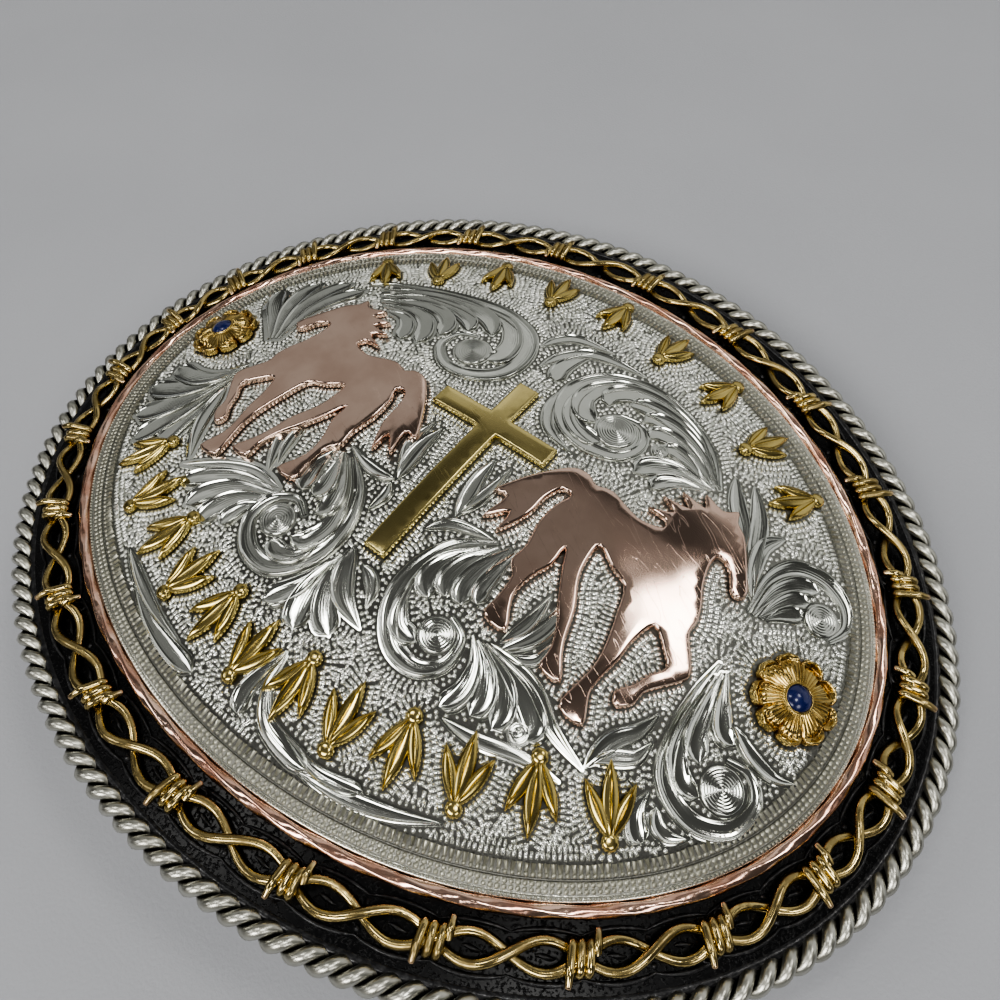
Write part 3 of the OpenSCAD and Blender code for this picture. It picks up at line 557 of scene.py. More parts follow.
# A leaf's form, its greatest width, and its middle line from the root to the tip
LEAVES = [
    ("stem", 1.7, [(21.8, 15), (19, 18.5), (14.5, 20.8), (9.5, 21.3), (5.2, 19.3), (3.4, 15.5),
        (4.7, 12), (8, 10.4), (11.8, 11.3), (13.1, 14), (11.8, 16.1), (9.4, 15.9)]),
    ("lobe", 1.9, [(21, 15.6), (17, 19), (12, 20.2), (8.4, 19.4), (7, 17.6), (7.6, 16.4)]),
    ("lobe", 1.8, [(12, 21), (7.8, 20.2), (5.6, 18), (5, 15.6), (6, 14), (7.7, 13.6)]),
    ("lobe", 1.6, [(5.4, 18.8), (4.4, 15.5), (5, 13), (7, 11.6), (9.6, 11.6)]),
    ("lobe", 1.8, [(21.3, 15.3), (17, 18.4), (13, 19.2), (10.3, 18.8), (9.3, 17.9)]),
    ("lobe", 1.7, [(21.6, 15.2), (18, 17.5), (14.5, 18.4), (12.2, 18), (11.6, 17.1)]),
    ("lobe", 1.6, [(21, 14.9), (18.2, 16.5), (15.2, 17.1), (13.4, 16.5), (13.2, 15.6)]),
    ("lobe", 1.4, [(20, 14.8), (17.8, 15.7), (16, 15.9), (15, 15.2)]),
    ("lobe", 1.7, [(21, 14.4), (17.8, 14.2), (15.3, 12.8), (14.2, 10.9)]),
    ("lobe", 1.3, [(20.4, 13.8), (18.2, 12.9), (17, 11.8), (16.5, 10.4)]),
    ("point", 1.0, [(2.5, 14.2), (3.1, 11.6), (4.8, 9.6), (8, 8.7)]),
    ("point", 1.4, [(-1.4, 16.6), (-0.2, 19.6), (2.6, 21.9), (8.2, 22.7)]),
    ("point", 1.3, [(-3.2, 19.2), (-2.2, 21.4), (-0.4, 22.8), (3.6, 23.4)]),
    ("lobe", 1.5, [(2.4, 22.4), (1.2, 20), (0.6, 17.6), (1.2, 15.6)]),
    ("point", 1.6, [(22.4, 17.4), (24, 14.8), (26, 12.4), (27.2, 9.6)]),
    ("point", 1.7, [(24.4, 17.8), (26.4, 15), (28, 11), (30, 7)]),
    ("point", 1.4, [(29.4, 14.6), (28.2, 12.4), (28.7, 9.4), (30.2, 6.4)]),
    ("stem", 1.5, [(30.2, 5.6), (30.3, 9.8), (31.8, 12.6), (34.6, 13.6), (37.2, 12.7), (38.3, 10.6),
        (37.6, 8.4)]),
    ("lobe", 1.4, [(30.8, 5.6), (31.4, 9), (32.8, 11.2), (34.6, 12)]),
    ("lobe", 1.4, [(31.4, 5.8), (32.2, 8), (33.2, 9.6), (34.4, 10.2)]),
    ("lobe", 1.2, [(32, 6), (32.8, 7.3), (33.8, 8.3), (34.6, 8.5)]),
    ("stem", 1.6, [(30.7, -0.4), (30.4, -4), (30.8, -8.4), (32.2, -11.8), (35.4, -13), (38.4, -11.5),
        (39.1, -8.6), (37.6, -6.8), (35.4, -7)]),
    ("lobe", 1.5, [(31, -1.6), (31.1, -6), (31.8, -9.4), (33.4, -11), (35, -11)]),
    ("lobe", 1.5, [(31.3, -1), (31.8, -4.8), (32.4, -7.4), (33.6, -8.8)]),
    ("lobe", 1.4, [(31.6, -0.8), (32.7, -3.4), (33.8, -5.2), (35.2, -5.6)]),
    ("point", 1.3, [(34.4, -4.2), (36.8, -5.3), (39.2, -5.6), (41, -4.8)]),
    ("point", 1.5, [(26.3, -15), (26.9, -12.2), (28.2, -10), (28.8, -7.8)]),
    ("point", 1.3, [(26.5, -14.4), (27.8, -13), (29.2, -11.8), (29.6, -10)]),
    ("lobe", 1.5, [(31.5, -13.4), (31.5, -15), (32.1, -16.2), (33.2, -16.8)]),
    ("point", 1.2, [(32.6, -13.9), (33.5, -15), (34.7, -15.1), (35.9, -14.3)]),
    ("stem", 1.6, [(8.5, -4), (5.4, -6.6), (4.1, -10.5), (4.6, -14.4), (7, -17.2), (10, -17.6),
        (11.9, -15.9), (11.7, -13.2), (9.8, -12.2)]),
    ("lobe", 1.6, [(7.6, -5.4), (5.9, -8.4), (5.7, -10.8), (6.9, -12)]),
    ("lobe", 1.6, [(9, -4.4), (7.5, -7.2), (7.2, -9.6), (8.1, -11)]),
    ("lobe", 1.5, [(9.9, -3.8), (8.9, -7.2), (8.9, -9.4), (9.7, -10.8)]),
    ("lobe", 1.2, [(10.7, -3.3), (10.3, -6.6), (10.3, -8.6), (10.8, -9.9)]),
    ("lobe", 1.5, [(4.9, -11.8), (5.3, -14), (6.6, -15.7), (8.5, -15.8)]),
    ("lobe", 1.5, [(12.3, -12.3), (14.1, -14.4), (14.6, -16.8), (13.8, -18.8)]),
    ("lobe", 1.7, [(12.9, -12.4), (15.2, -14), (16.4, -16), (16.3, -17.8)]),
    ("lobe", 1.7, [(13.3, -12.3), (16.9, -13.9), (18.4, -15.8), (18.4, -17.5)]),
    ("lobe", 2.0, [(13.7, -12.2), (18.4, -13.5), (21, -15.2), (20.9, -16.6)]),
    ("point", 1.3, [(14, -11.9), (18.8, -12.5), (22.6, -14.5), (26.2, -15.4)]),
    ("point", 1.1, [(14.6, -19.4), (17.6, -19.1), (21.6, -17.9), (25.2, -17.4)]),
    ("point", 1.5, [(14.9, -12), (16.6, -9.4), (17.2, -6.5), (16.7, -3.2)]),
    ("point", 1.2, [(14.6, -11.4), (15.5, -9), (15.7, -7), (15.6, -5.2)]),
    ("point", 1.0, [(15.4, -11.9), (16.8, -11.6), (18, -10.6), (18.3, -8.4)]),
    ("point", 1.5, [(3.7, -4.2), (3.2, -1.4), (2.8, 0.8), (2.7, 3.1)]),
    ("point", 1.1, [(3.9, -3.6), (4.4, -0.6), (4.6, 1.4), (4.6, 3.2)]),
    ("point", 1.0, [(2.3, -6.8), (3.8, -5.2), (6, -4.4), (8.2, -4)]),
    ("point", 1.5, [(-3.7, -4.2), (-4.2, -1.4), (-4.3, 0.8), (-4, 3.1)]),
    ("point", 1.1, [(-4, -3.6), (-5.2, -0.8), (-5.5, 1.2), (-5.2, 3.2)]),
    ("point", 1.1, [(-3.8, -4.5), (-5.6, -4.9), (-7.8, -4.7), (-10, -4)]),
    ("point", 1.0, [(-3.9, -5), (-3.4, -6.2), (-3.4, -7.4), (-3.6, -8.6)]),
    ("stem", 1.6, [(-9, -4.7), (-5.7, -7.4), (-4, -11.3), (-4.4, -15.2), (-7, -18.3), (-10.4, -18.3),
        (-12.8, -16), (-12.6, -13.2), (-10.4, -11.7), (-8.4, -12.6)]),
    ("lobe", 1.6, [(-9.3, -5.2), (-6.8, -8.4), (-5.5, -12), (-6.3, -14.6), (-7.8, -15)]),
    ("lobe", 1.6, [(-9.8, -5.2), (-7.9, -8), (-7.1, -10.4), (-7.7, -11.7)]),
    ("lobe", 1.6, [(-10.4, -5), (-9.4, -7.6), (-9, -9.2), (-9.5, -10.4)]),
    ("lobe", 1.6, [(-11.2, -5), (-11.5, -7.6), (-11.2, -9.4), (-10.8, -10.6)]),
    ("lobe", 1.5, [(-4.9, -13), (-5.8, -15.9), (-7.6, -16.9), (-9.2, -16.4)]),
    ("point", 1.5, [(-13, -11.8), (-16.8, -11.9), (-20.8, -13.3), (-24.6, -15.2)]),
    ("lobe", 1.6, [(-13, -12.2), (-17.2, -12.9), (-20.8, -14.9), (-22.9, -16.8)]),
    ("lobe", 1.8, [(-12.9, -12.6), (-16.6, -13.9), (-19.2, -16.2), (-20.2, -18.4)]),
    ("lobe", 1.8, [(-12.9, -13), (-15.7, -14.8), (-17.1, -17), (-17.4, -19.2)]),
    ("lobe", 1.4, [(-12.9, -13.8), (-14.3, -15.2), (-14.9, -16.6), (-15.1, -18)]),
    ("point", 1.4, [(-17.9, -3.8), (-17.5, -6.2), (-16.8, -8.4), (-15.5, -10.9)]),
    ("point", 1.0, [(-16.7, -4.6), (-16.4, -6.6), (-15.9, -8.4), (-15.2, -9.9)]),
    ("lobe", 2.0, [(-29.6, -1.6), (-31.6, -4.6), (-34.6, -6), (-38.4, -5.8)]),
    ("lobe", 2.3, [(-29.8, -2.2), (-31.8, -5.6), (-35.2, -8.4), (-38.8, -9.6)]),
    ("lobe", 2.3, [(-29.7, -3), (-31.8, -7.8), (-34.2, -11.2), (-36.6, -13.4)]),
    ("lobe", 2.2, [(-29.6, -3.5), (-30.8, -8.6), (-32.2, -12.6), (-33.4, -15.8)]),
    ("lobe", 1.9, [(-29.5, -4), (-29.6, -8.6), (-29.9, -12), (-30, -14.8)]),
    ("point", 1.5, [(-29.2, -5.2), (-28, -9), (-26.6, -11.8), (-24.8, -14)]),
    ("lobe", 1.5, [(-30, 3.6), (-30.6, 8.6), (-29.6, 12.4), (-27.4, 15.4)]),
    ("lobe", 1.9, [(-30.4, 3.4), (-32, 8.4), (-31.8, 12.4), (-30.2, 15.8)]),
    ("lobe", 1.9, [(-30.8, 3.2), (-33.6, 8), (-34.4, 11.4), (-34, 14)]),
    ("lobe", 1.8, [(-31.2, 3), (-34.4, 6.4), (-36.6, 8.6), (-38, 10.8)]),
    ("stem", 1.7, [(-27.6, 17), (-24, 18.8), (-17.6, 20.4), (-10.6, 21.2), (-5.6, 19.8), (-3.6, 16.6),
        (-4, 13), (-6.6, 10.8), (-10, 10.5), (-12.4, 12.6), (-11.8, 15.2), (-9.8, 16)]),
    ("lobe", 1.9, [(-14.4, 20.6), (-9, 20.2), (-6.3, 18), (-5.6, 15.4), (-6.6, 13.6)]),
    ("lobe", 1.8, [(-25.6, 17), (-20, 19), (-14, 19.8), (-10.2, 18.9), (-8.8, 17.2)]),
    ("lobe", 1.7, [(-24.6, 16), (-19.8, 18), (-15.4, 18.5), (-12.4, 17.6), (-11.4, 16.2)]),
    ("lobe", 1.7, [(-23.8, 15.2), (-19.8, 16.8), (-16.6, 17.1), (-14.2, 15.8), (-13.6, 13.8)]),
    ("lobe", 1.6, [(-22.8, 14.6), (-19.4, 15.5), (-16.8, 14.8), (-15.4, 13.2), (-15, 11.4)]),
    ("lobe", 1.5, [(-21.6, 13.8), (-19.4, 13.9), (-17.8, 12.8), (-17, 10.8)]),
    ("point", 2.0, [(-1.9, -12.4), (-0.9, -15), (0.8, -16.8), (3.8, -17.9)]),
    ("lobe", 1.9, [(-2.1, -13), (-1.4, -16.4), (0, -18.6), (2, -20)]),
    ("lobe", 2.0, [(-2.4, -13.6), (-2.6, -17), (-2.2, -19.4), (-1.2, -21.4)]),
    ("lobe", 1.8, [(-2.6, -14.4), (-3.4, -17.6), (-4.4, -19.6), (-5.4, -21)]),
    ("point", 1.1, [(0, -13.2), (1.2, -13.6), (2.4, -14.6), (3, -16)]),
    ("lobe", 1.4, [(-17.8, -27.2), (-14, -28.6), (-10, -29.4), (-6.2, -29.7)]),
    ("point", 1.0, [(-21.4, -25), (-17.6, -26.6), (-13.4, -27.9), (-9.4, -28.5)]),
    ("lobe", 1.3, [(-0.1, -23.4), (-0.7, -26), (-0.8, -28), (-0.1, -29.7)]),
    ("lobe", 1.4, [(0.1, -23.6), (0.6, -26.4), (3, -28.8), (8.2, -29.4)]),
    ("lobe", 1.0, [(4.6, -28.4), (8.4, -29), (11, -28.6), (13, -27.8)]),
    ("point", 1.3, [(7.6, -29.9), (12, -29), (16, -27.6), (19.6, -25.7)]),
]
# Middle and radius of each round head
HEADS = [
    (10.1, 13.9, 2.1), (-8.7, 13.7, 2.0), (36.3, -9.3, 1.9), (9.8, -14.2, 1.6), (-10.3, -14.4, 1.7),
    (36.1, 9.6, 1.6), (20.4, -16.4, 0.9), (14.9, 14.8, 0.8),
]


def curve_between(a, b, c, d, t):
    """Points at shares t of the way from b to c on the smooth curve through a, b, c and d."""
    bend, turn_back = 2 * a - 5 * b + 4 * c - d, 3 * b - a - 3 * c + d
    return 0.5 * (2 * b + (c - a) * t + bend * t**2 + turn_back * t**3)


def along_curve(points, shares):
    """Points at shares of the length of a smooth curve through a few points, its direction and length."""
    held = np.array([points[0], *points, points[-1]], float)
    fine = []
    for a, b, c, d in zip(held, held[1:], held[2:], held[3:]):
        fine.append(curve_between(a, b, c, d, np.arange(20)[:, None] / 20))
    fine = np.concatenate(fine + [held[-1:]])
    run = np.append(0, np.cumsum(np.linalg.norm(np.diff(fine, axis=0), axis=1)))
    p = np.stack([np.interp(shares * run[-1], run, fine[:, k]) for k in (0, 1)], -1)
    along = np.gradient(p, axis=0)
    return p, along / np.linalg.norm(along, axis=1)[:, None], run[-1]


def leaf_breadth(form, s):
    """Share of the greatest width at a share of the way from root to tip."""
    if form == "lobe":
        swelling = 0.1 + 0.9 * np.sin(np.clip(s / LOBE_FROM, 0, 1) * math.pi / 2) ** 1.2
        rounded = np.sqrt(np.clip(1 - ((s - LOBE_FROM) / (1 - LOBE_FROM)) ** 2, 0.0004, 1))
        return np.where(s < LOBE_FROM, swelling, rounded)
    if form == "point":
        return 0.03 + 0.97 * np.sin(np.clip(s, 0, 1) ** 0.8 * math.pi) ** 0.9
    return np.minimum(np.clip(0.12 + 2.2 * s, 0, 1), np.clip(0.25 + 2.2 * (1 - s), 0, 1))


# Across a leaf, from its inner edge at -1 to its rim at 1: the height along it, the height at a lobe's end,
# how deep it is lined, and how much painted shade darkens its walls
ACROSS = np.array([-1, -1, -0.94, -0.86, -0.78, -0.5, -0.15, 0.2, 0.46, 0.64, 0.76, 0.84, 0.9, 0.96, 1, 1])
SAW = np.array([-1, 0.26, 0.4, 0.4, 0.2, 0.12, 0.13, 0.2, 0.32, 0.46, 0.6, 0.92, 1.0, 0.96, 0.8, -1])
SPOON = np.array([-1, 0.75, 0.95, 0.9, 0.42, 0.2, 0.12, 0.12, 0.2, 0.36, 0.55, 0.92, 1.0, 0.96, 0.8, -1])
LINED = np.array([0, 0, 0, 0, 0, 1, 1, 1, 1, 0.6, 0, 0, 0, 0, 0, 0])
DARK = np.array([2, 2, 1.7, 0, 0, 0, 0, 0, 0, 0, 0, 0, 0, 0, 1.4, 2])
# From a head's foot to its middle: share of its radius, height and how deep it is lined, with painted shade
# at its foot
HEAD_RATIO = np.array([1, 1, 0.98, 0.94, 0.88, 0.8, 0.66, 0.5, 0.35, 0.2, 0.08, 0.01])
HEAD_RISE = np.array([-LEAF_SINK / LEAF_H, 0.3, 0.48, 0.55, 0.52, 0.48, 0.48, 0.54, 0.62, 0.7, 0.76, 0.78])
HEAD_LINES_AND_SHADE = np.array([2, 1.6, 0, 0.5, 1, 1, 1, 1, 1, 1, 1, 1])


def bed_reach(x):
    """How far the smooth silver round a leaf reaches past it: wider at the left end."""
    return BED_W + BED_WIDER * np.clip((-14 - x) / 8, 0, 1)


def silver_bed(spine, side, wide):
    """A low sheet of smooth silver along a spine, as wide to each side as given; returns its outline."""
    flat = np.maximum(wide - 0.1, 0.004)[:, None]
    reach = np.concatenate([-wide[:, None], flat * (-1, -0.34, 0.34, 1), wide[:, None]], 1)
    p = spine[:, None] + side[:, None] * reach[..., None]
    scrolls.lattice(on_dome(p, (BED_DOWN, BED_UP, BED_UP, BED_UP, BED_UP, BED_DOWN)), outward=False)
    return np.concatenate([p[:, 0], p[::-1, -1]])


scrolls = Mould()
leaf_outlines = []
for form, width, points in LEAVES:
    width *= SPREAD * WIDER[form]
    steps = int(np.clip(len(points) * 7, 28, 70))
    s = np.linspace(0, 1, steps)
    if form != "stem":
        s = s + END_CROWD * np.sin(s * 2 * math.pi) + (1 - s) * s * TIP_CROWD
    line, along, length = along_curve(np.array(points) * SPREAD, s)
    bend = along[:-1, 0] * along[1:, 1] - along[:-1, 1] * along[1:, 0]
    rim = np.stack([along[:, 1], -along[:, 0]], -1) * (1 if bend.sum() >= 0 else -1)
    half = width / 2 * leaf_breadth(form, s)
    spoon = np.clip((s - SPOON_FROM) / SPOON_OVER, 0, 1)[:, None] ** 2 * (form == "lobe")
    far = points[-1][1] > 4 or points[-1][0] < -29
    full = np.clip(half[:, None] * 2.4 / width + 0.2, 0, 1)
    tall = LEAF_H * full * min(1, width / FULL_HEIGHT_W) * (FAR_SHARE if far else NEAR_SHARE)
    section = np.where(SAW < 0, -LEAF_SINK, (SAW * (1 - spoon) + SPOON * spoon) * tall)
    p2 = line[:, None] + rim[:, None] * (ACROSS * half[:, None])[..., None]
    p = on_dome(p2, section + 0.02)
    uv = np.stack(np.broadcast_arrays(ACROSS * width / 2, s[:, None] * length), -1)
    lined = LINED * np.clip(3.2 - 3.6 * s, 0, 1)[:, None] * (0.3 if form == "point" else 0.6)
    scrolls.lattice(p, uv, DARK + lined, outward=False)
    leaf_outlines.append(np.concatenate([p2[:, 0], p2[::-1, -1]]))
    bed = bed_reach(line[:, 0].mean())
    end = np.linspace(0.26, 1.5, 6)
    foot = line[0] - along[0] * bed * np.sin(end[::-1, None])
    tip = line[-1] + along[-1] * bed * np.sin(end[:, None])
    side = np.concatenate([rim[:1].repeat(6, 0), rim, rim[-1:].repeat(6, 0)])
    wide = [(half[0] + bed) * np.cos(end[::-1]), half + bed, (half[-1] + bed) * np.cos(end)]
    leaf_outlines.append(silver_bed(np.concatenate([foot, line, tip]), side, np.concatenate(wide)))
t = np.arange(HEAD_SIDES) * 2 * math.pi / HEAD_SIDES
end = np.linspace(-1.5, 1.5, 19)
for x, y, r in np.array(HEADS) * SPREAD:
    ring = r * HEAD_RATIO
    p2 = np.stack([x + ring[:, None] * np.cos(t), y + ring[:, None] * np.sin(t)], -1)
    uv = np.stack(np.meshgrid(ring, np.arange(HEAD_SIDES + 1) * r * 0.13, indexing="ij"), -1)
    p = on_dome(p2, HEAD_RISE[:, None] * LEAF_H + 0.02)
    scrolls.lattice(p, uv, HEAD_LINES_AND_SHADE.repeat(HEAD_SIDES), round_cols=True, outward=False)
    whole = r + bed_reach(x)
    spine = np.stack([x + whole * np.sin(end), y + 0 * end], -1)
    leaf_outlines.append(silver_bed(spine, np.array([(0, -1.0)] * 19), whole * np.cos(end)))
cut_silver = Finish("bright_cut_silver")
mark = cut_silver.mark()
# Painted shade: marks over 1, along each leaf's walls and round each head's foot, are painted dark.
painted_edge_shade = mark.ease(1.05, 1.7)
lined = mark * (1 - painted_edge_shade)
across = cut_silver.node("SeparateXYZ", values=(cut_silver.node("UVMap", {"uv_map": "wrap"}),), out=0)
patches = cut_silver.grain(2.5, 2).ease(0.25, 0.6) + lined.ease(0.65, 0.95)
ploughed = (across * (2 * math.pi / LINE_GAP)).wave() * lined * patches
haze = cut_silver.grain(3.5, 4)
# Painted shade: the leaves are painted a duller tone toward the top and the far left.
upper, far_left = cut_silver.place_along(1).ease(-12, 14), cut_silver.place_along(0).ease(-27, -33)
tarnish_and_painted_shade = cut_silver.node("Math", {"operation": "MAXIMUM"}, (upper, far_left * 0.8))
silver_tone = cut_silver.blend(haze, (0.91, 0.925, 0.88, 1), (0.74, 0.755, 0.70, 1))
dull_tone = cut_silver.blend(haze, (0.70, 0.715, 0.675, 1), (0.56, 0.572, 0.53, 1))
leaf_tone = cut_silver.blend(tarnish_and_painted_shade, silver_tone, dull_tone)
cut_silver.dress(
    Base_Color=cut_silver.blend(painted_edge_shade, leaf_tone, (0.27, 0.27, 0.245, 1)),
    Metallic=1.0,
    Roughness=0.07 + haze * 0.11 + painted_edge_shade * 0.2,
    Normal=cut_silver.bump(haze, 0.02, cut_silver.bump(ploughed, 0.007)),
)
scrolls.cast("cut_scroll_leaves", cut_silver, "engraved_silver")


# The figures are sawn from sheet before the field is cut, so the engraver works round their outlines:
# a cross, two running horses that mirror each other, two rosettes, and sprigs of three leaves on a bud.
CROSS_W, CROSS_SPAN = 2.5, 14.6
CROSS_TOP, CROSS_FOOT, CROSS_ARM = 12.9, -12.0, 6.6
HORSE = [
    (25.3, 14), (25.9, 12.8), (27.1, 11.9), (28.4, 10), (29.6, 8), (30.2, 6.9), (30.1, 6.1),
    (29.4, 5.7), (28.7, 6.1), (27.8, 7.5), (26.9, 8.2), (26.1, 8.1), (26, 6.8), (26.6, 4.6),
    (27.5, 2.8), (28, 1.2), (28, -0.2), (29, -1.7), (30, -3.3), (29.7, -4.4), (28.3, -6.3),
    (27.6, -7.4), (27.4, -8.9), (26.2, -10), (25.5, -8.9), (26.5, -7.4), (27.1, -5.8),
    (27.9, -4.3), (26.6, -2.8), (25.1, -1.8), (24.4, -4), (24.3, -6.4), (23.9, -8.9),
    (24, -10.6), (25, -13.1), (22.4, -13.1), (22.5, -10.6), (22.8, -8.4), (22.6, -6.2),
    (21.8, -3.2), (20.8, -0.4), (18.9, 0.4), (16.9, 1.5), (16.7, 0), (17.2, -2.4), (18.6, -5),
    (19.5, -7.8), (20.2, -9.3), (21.4, -11.4), (19.1, -11.4), (18.9, -9.4), (17.9, -7.1),
    (16.8, -5.4), (15.2, -2.4), (14.4, -0.8), (14.4, -3), (13.6, -5.2), (13.5, -7.8),
    (14.9, -10.7), (12.3, -10.7), (12.3, -8.4), (12.1, -6.2), (11.1, -4.9), (11.3, -2.8),
    (10.8, -0.2), (10.9, 2.4), (11.5, 4.2), (10.4, 4.3), (9.7, 2.4), (9.5, -0.2), (8.1, -3.4),
    (7.9, -1), (6.1, -2.9), (6.6, 0.2), (5.2, 0.2), (6.5, 2.9), (8.2, 5.4), (9.9, 7.2),
    (11.6, 7.5), (12.7, 6.9), (14.4, 7.4), (16.6, 6.8), (18.4, 6.5), (20.4, 7.2), (19.9, 8.2),
    (18.1, 8.2), (20.3, 9.4), (18.6, 10.3), (21.1, 10.8), (19.8, 12.1), (22.4, 12),
    (21.7, 13.5), (24, 13),
]
ROSETTE_X, ROSETTE_Y = 38.4, 1.2
ROSETTE_R, PETALS = 4.25, 9
PETAL_R = ROSETTE_R * math.sin(math.pi / PETALS) / (1 + math.sin(math.pi / PETALS))
PETAL_OUT = ROSETTE_R - PETAL_R
FIGURE_SIDE = 0.5
BUD_R = 0.75
MIDDLE_W, SIDE_W = 1.5, 1.25
SIDE_SHARE, SIDE_TURN = 0.72, 25.0
UPPER_H, UPPER_COUNT, UPPER_RATIO = 6.4, 9, 0.862
UPPER_FROM, UPPER_TO = 41.5, 137.0
LOWER_H, LOWER_COUNT, LOWER_REACH, LOWER_Y, LOWER_ARCH = 7.2, 12, 30.4, -25.8, 55.0


def closed_curve(points, steps):
    """The smooth closed curve of the horse's outline."""
    p = np.array(points, float)
    a, b, c, d = (np.roll(p, shift, 0)[:, None] for shift in (1, 0, -1, -2))
    return curve_between(a, b, c, d, (np.arange(steps) / steps)[None, :, None]).reshape(-1, 2)


def within(x, y, outline):
    """Which of many places lie inside an outline."""
    inside = np.zeros(x.shape, bool)
    for (ax, ay), (bx, by) in zip(outline, np.roll(outline, -1, 0)):
        if ay != by:
            inside ^= ((ay > y) != (by > y)) & (x < (bx - ax) * (y - ay) / (by - ay) + ax)
    return inside


def split_sides(outline, longest):
    """The outline with points added until no side is longer than given."""
    made = []
    for a, b in zip(outline, np.roll(outline, -1, 0)):
        parts = max(1, math.ceil(np.linalg.norm(b - a) / longest))
        made += [a + (b - a) * k / parts for k in range(parts)]
    made = np.array(made)
    turned = np.roll(made, -1, 0)
    area = (made[:, 0] * turned[:, 1] - made[:, 1] * turned[:, 0]).sum()
    return made if area > 0 else made[::-1]


def rosette_edge(t):
    """Radius of the scalloped edge at an angle from the middle of the top petal."""
    share = 2 * math.pi / PETALS
    off = (t + share / 2) % share - share / 2
    edge = PETAL_OUT * np.cos(off) + np.sqrt(np.clip(PETAL_R**2 - (PETAL_OUT * np.sin(off)) ** 2, 0, None))
    return edge + 0.4 * (ROSETTE_R - edge)


def sprig_places():
    """Name, height, place and turn of every sprig of the two rows."""
    for i in range(1, UPPER_COUNT + 1):
        t = math.radians(UPPER_TO + (UPPER_FROM - UPPER_TO) * (i - 1) / (UPPER_COUNT - 1))
        spot = (UPPER_RATIO * SILVER_A * math.cos(t), UPPER_RATIO * SILVER_B * math.sin(t))
        lean = math.atan2(SILVER_A * math.sin(t), SILVER_B * math.cos(t)) - math.pi / 2 + math.pi * (i % 2)
        yield f"upper_sprig_{i}", UPPER_H, spot, lean
    for i in range(1, LOWER_COUNT + 1):
        x = LOWER_REACH * (2 * (i - 1) / (LOWER_COUNT - 1) - 1)
        spot = (x, LOWER_Y + LOWER_ARCH - math.sqrt(LOWER_ARCH**2 - x * x))
        yield f"lower_sprig_{i}", LOWER_H, spot, math.asin(x / LOWER_ARCH) + math.pi * (i % 2)


def turned(p, lean):
    """Points turned about the face by one angle, or each by its own."""
    c, s = np.cos(lean), np.sin(lean)
    return np.stack([p[..., 0] * c - p[..., 1] * s, p[..., 0] * s + p[..., 1] * c], -1)


def lens_half(length, width, y):
    """Half width of a pointed leaf at a height over its root."""
    r = (length**2 + width**2) / (4 * width)
    return np.sqrt(np.clip(r * r - (y - length / 2) ** 2, 0, None)) - (r - width / 2)


def sprig_leaves(height):
    """Length, width and turn of the three leaves of a sprig."""
    yield height - BUD_R, MIDDLE_W, 0.0
    for side in (-1, 1):
        yield SIDE_SHARE * height, SIDE_W, math.radians(side * SIDE_TURN)


half_w, half_span = CROSS_W / 2, CROSS_SPAN / 2
high, low = CROSS_ARM + half_w, CROSS_ARM - half_w
right_side = [
    (half_w, CROSS_FOOT), (half_w, low), (half_span, low), (half_span, high), (half_w, high),
    (half_w, CROSS_TOP),
]
cross_outline = split_sides(np.array(right_side + [(-x, y) for x, y in right_side[::-1]]), FIGURE_SIDE)
horse_outlines = [split_sides(closed_curve(HORSE, 3) * (side, 1), FIGURE_SIDE) for side in (1, -1)]
t = np.arange(PETALS * 16) * 2 * math.pi / (PETALS * 16)
rim = rosette_edge(t)
rosette_outlines = [
    np.stack([side * ROSETTE_X + rim * np.sin(t), ROSETTE_Y + rim * np.cos(t)], -1)[::-1] for side in (1, -1)
]
sprig_outlines = []
for _, height, spot, lean in sprig_places():
    for length, width, swing in sprig_leaves(height):
        y = np.linspace(0, length, 14)
        half = lens_half(length, width, y)
        edge = np.concatenate([np.stack([half, y], -1), np.stack([-half, y], -1)[-2:0:-1]])
        edge = turned(edge, swing) + (0, BUD_R - height / 2)
        sprig_outlines.append(turned(edge, lean) + spot)
    ring = np.stack([np.cos(t[::12]), np.sin(t[::12])], -1) * BUD_R + (0, BUD_R - height / 2)
    sprig_outlines.append(turned(ring, lean) + spot)


# The field round the figures and scrolls is filled with short wedge cuts, in rows that follow each
# outline and stand square to it, with a row of round beads along the scrolls. The border has a row of
# cuts and four rows of beads of its own. Each cut throws up a bright little tooth, no two alike.
CELL, MAP_X, MAP_Y = 0.15, 46, 35.4
ROWS, ROW_GAP, TOOTH_GAP = 11, 0.62, 0.42
FIRST_DEPTH, BEAD_DEPTH, AFTER_BEADS, CROWDED = 0.42, 0.26, 0.5, 0.13
TOOTH_ROOM, BEAD_ROOM = 0.36, 0.4
FILL_STEP, FILL_CLEAR, FILL_ROOM = 2, 0.22, 0.37
OUTLINE_SIDE, OPEN_AT = 0.12, 0.24
TOOTH_L, TOOTH_W, TOOTH_H = 0.66, 0.47, 0.23
CUT_SINK, SWERVE, TILT, SIZE_SPAN = 0.02, 0.09, 0.24, (0.84, 1.12)
BEAD_R, BEAD_GAP, BEAD_H = 0.23, 0.56, 0.2
BORDER_TEETH, BORDER_ROW_IN = 425, 2.4
BORDER_TOOTH_L, BORDER_TOOTH_W, BORDER_TOOTH_H = 0.74, 0.5, 0.25
# Name of a row of round beads on the border, its inset and count, and the beads' radius, height and foot
BEAD_ROWS = [
    ("border_beads", 1.9, 425, 0.24, 0.22, -0.12),
    ("lip_beads", 0.25, 620, 0.14, 0.12, -0.02),
    ("band_beads_1", 0.8, 440, 0.27, 0.17, -0.1),
    ("band_beads_2", 1.26, 440, 0.27, 0.17, -0.1),
]

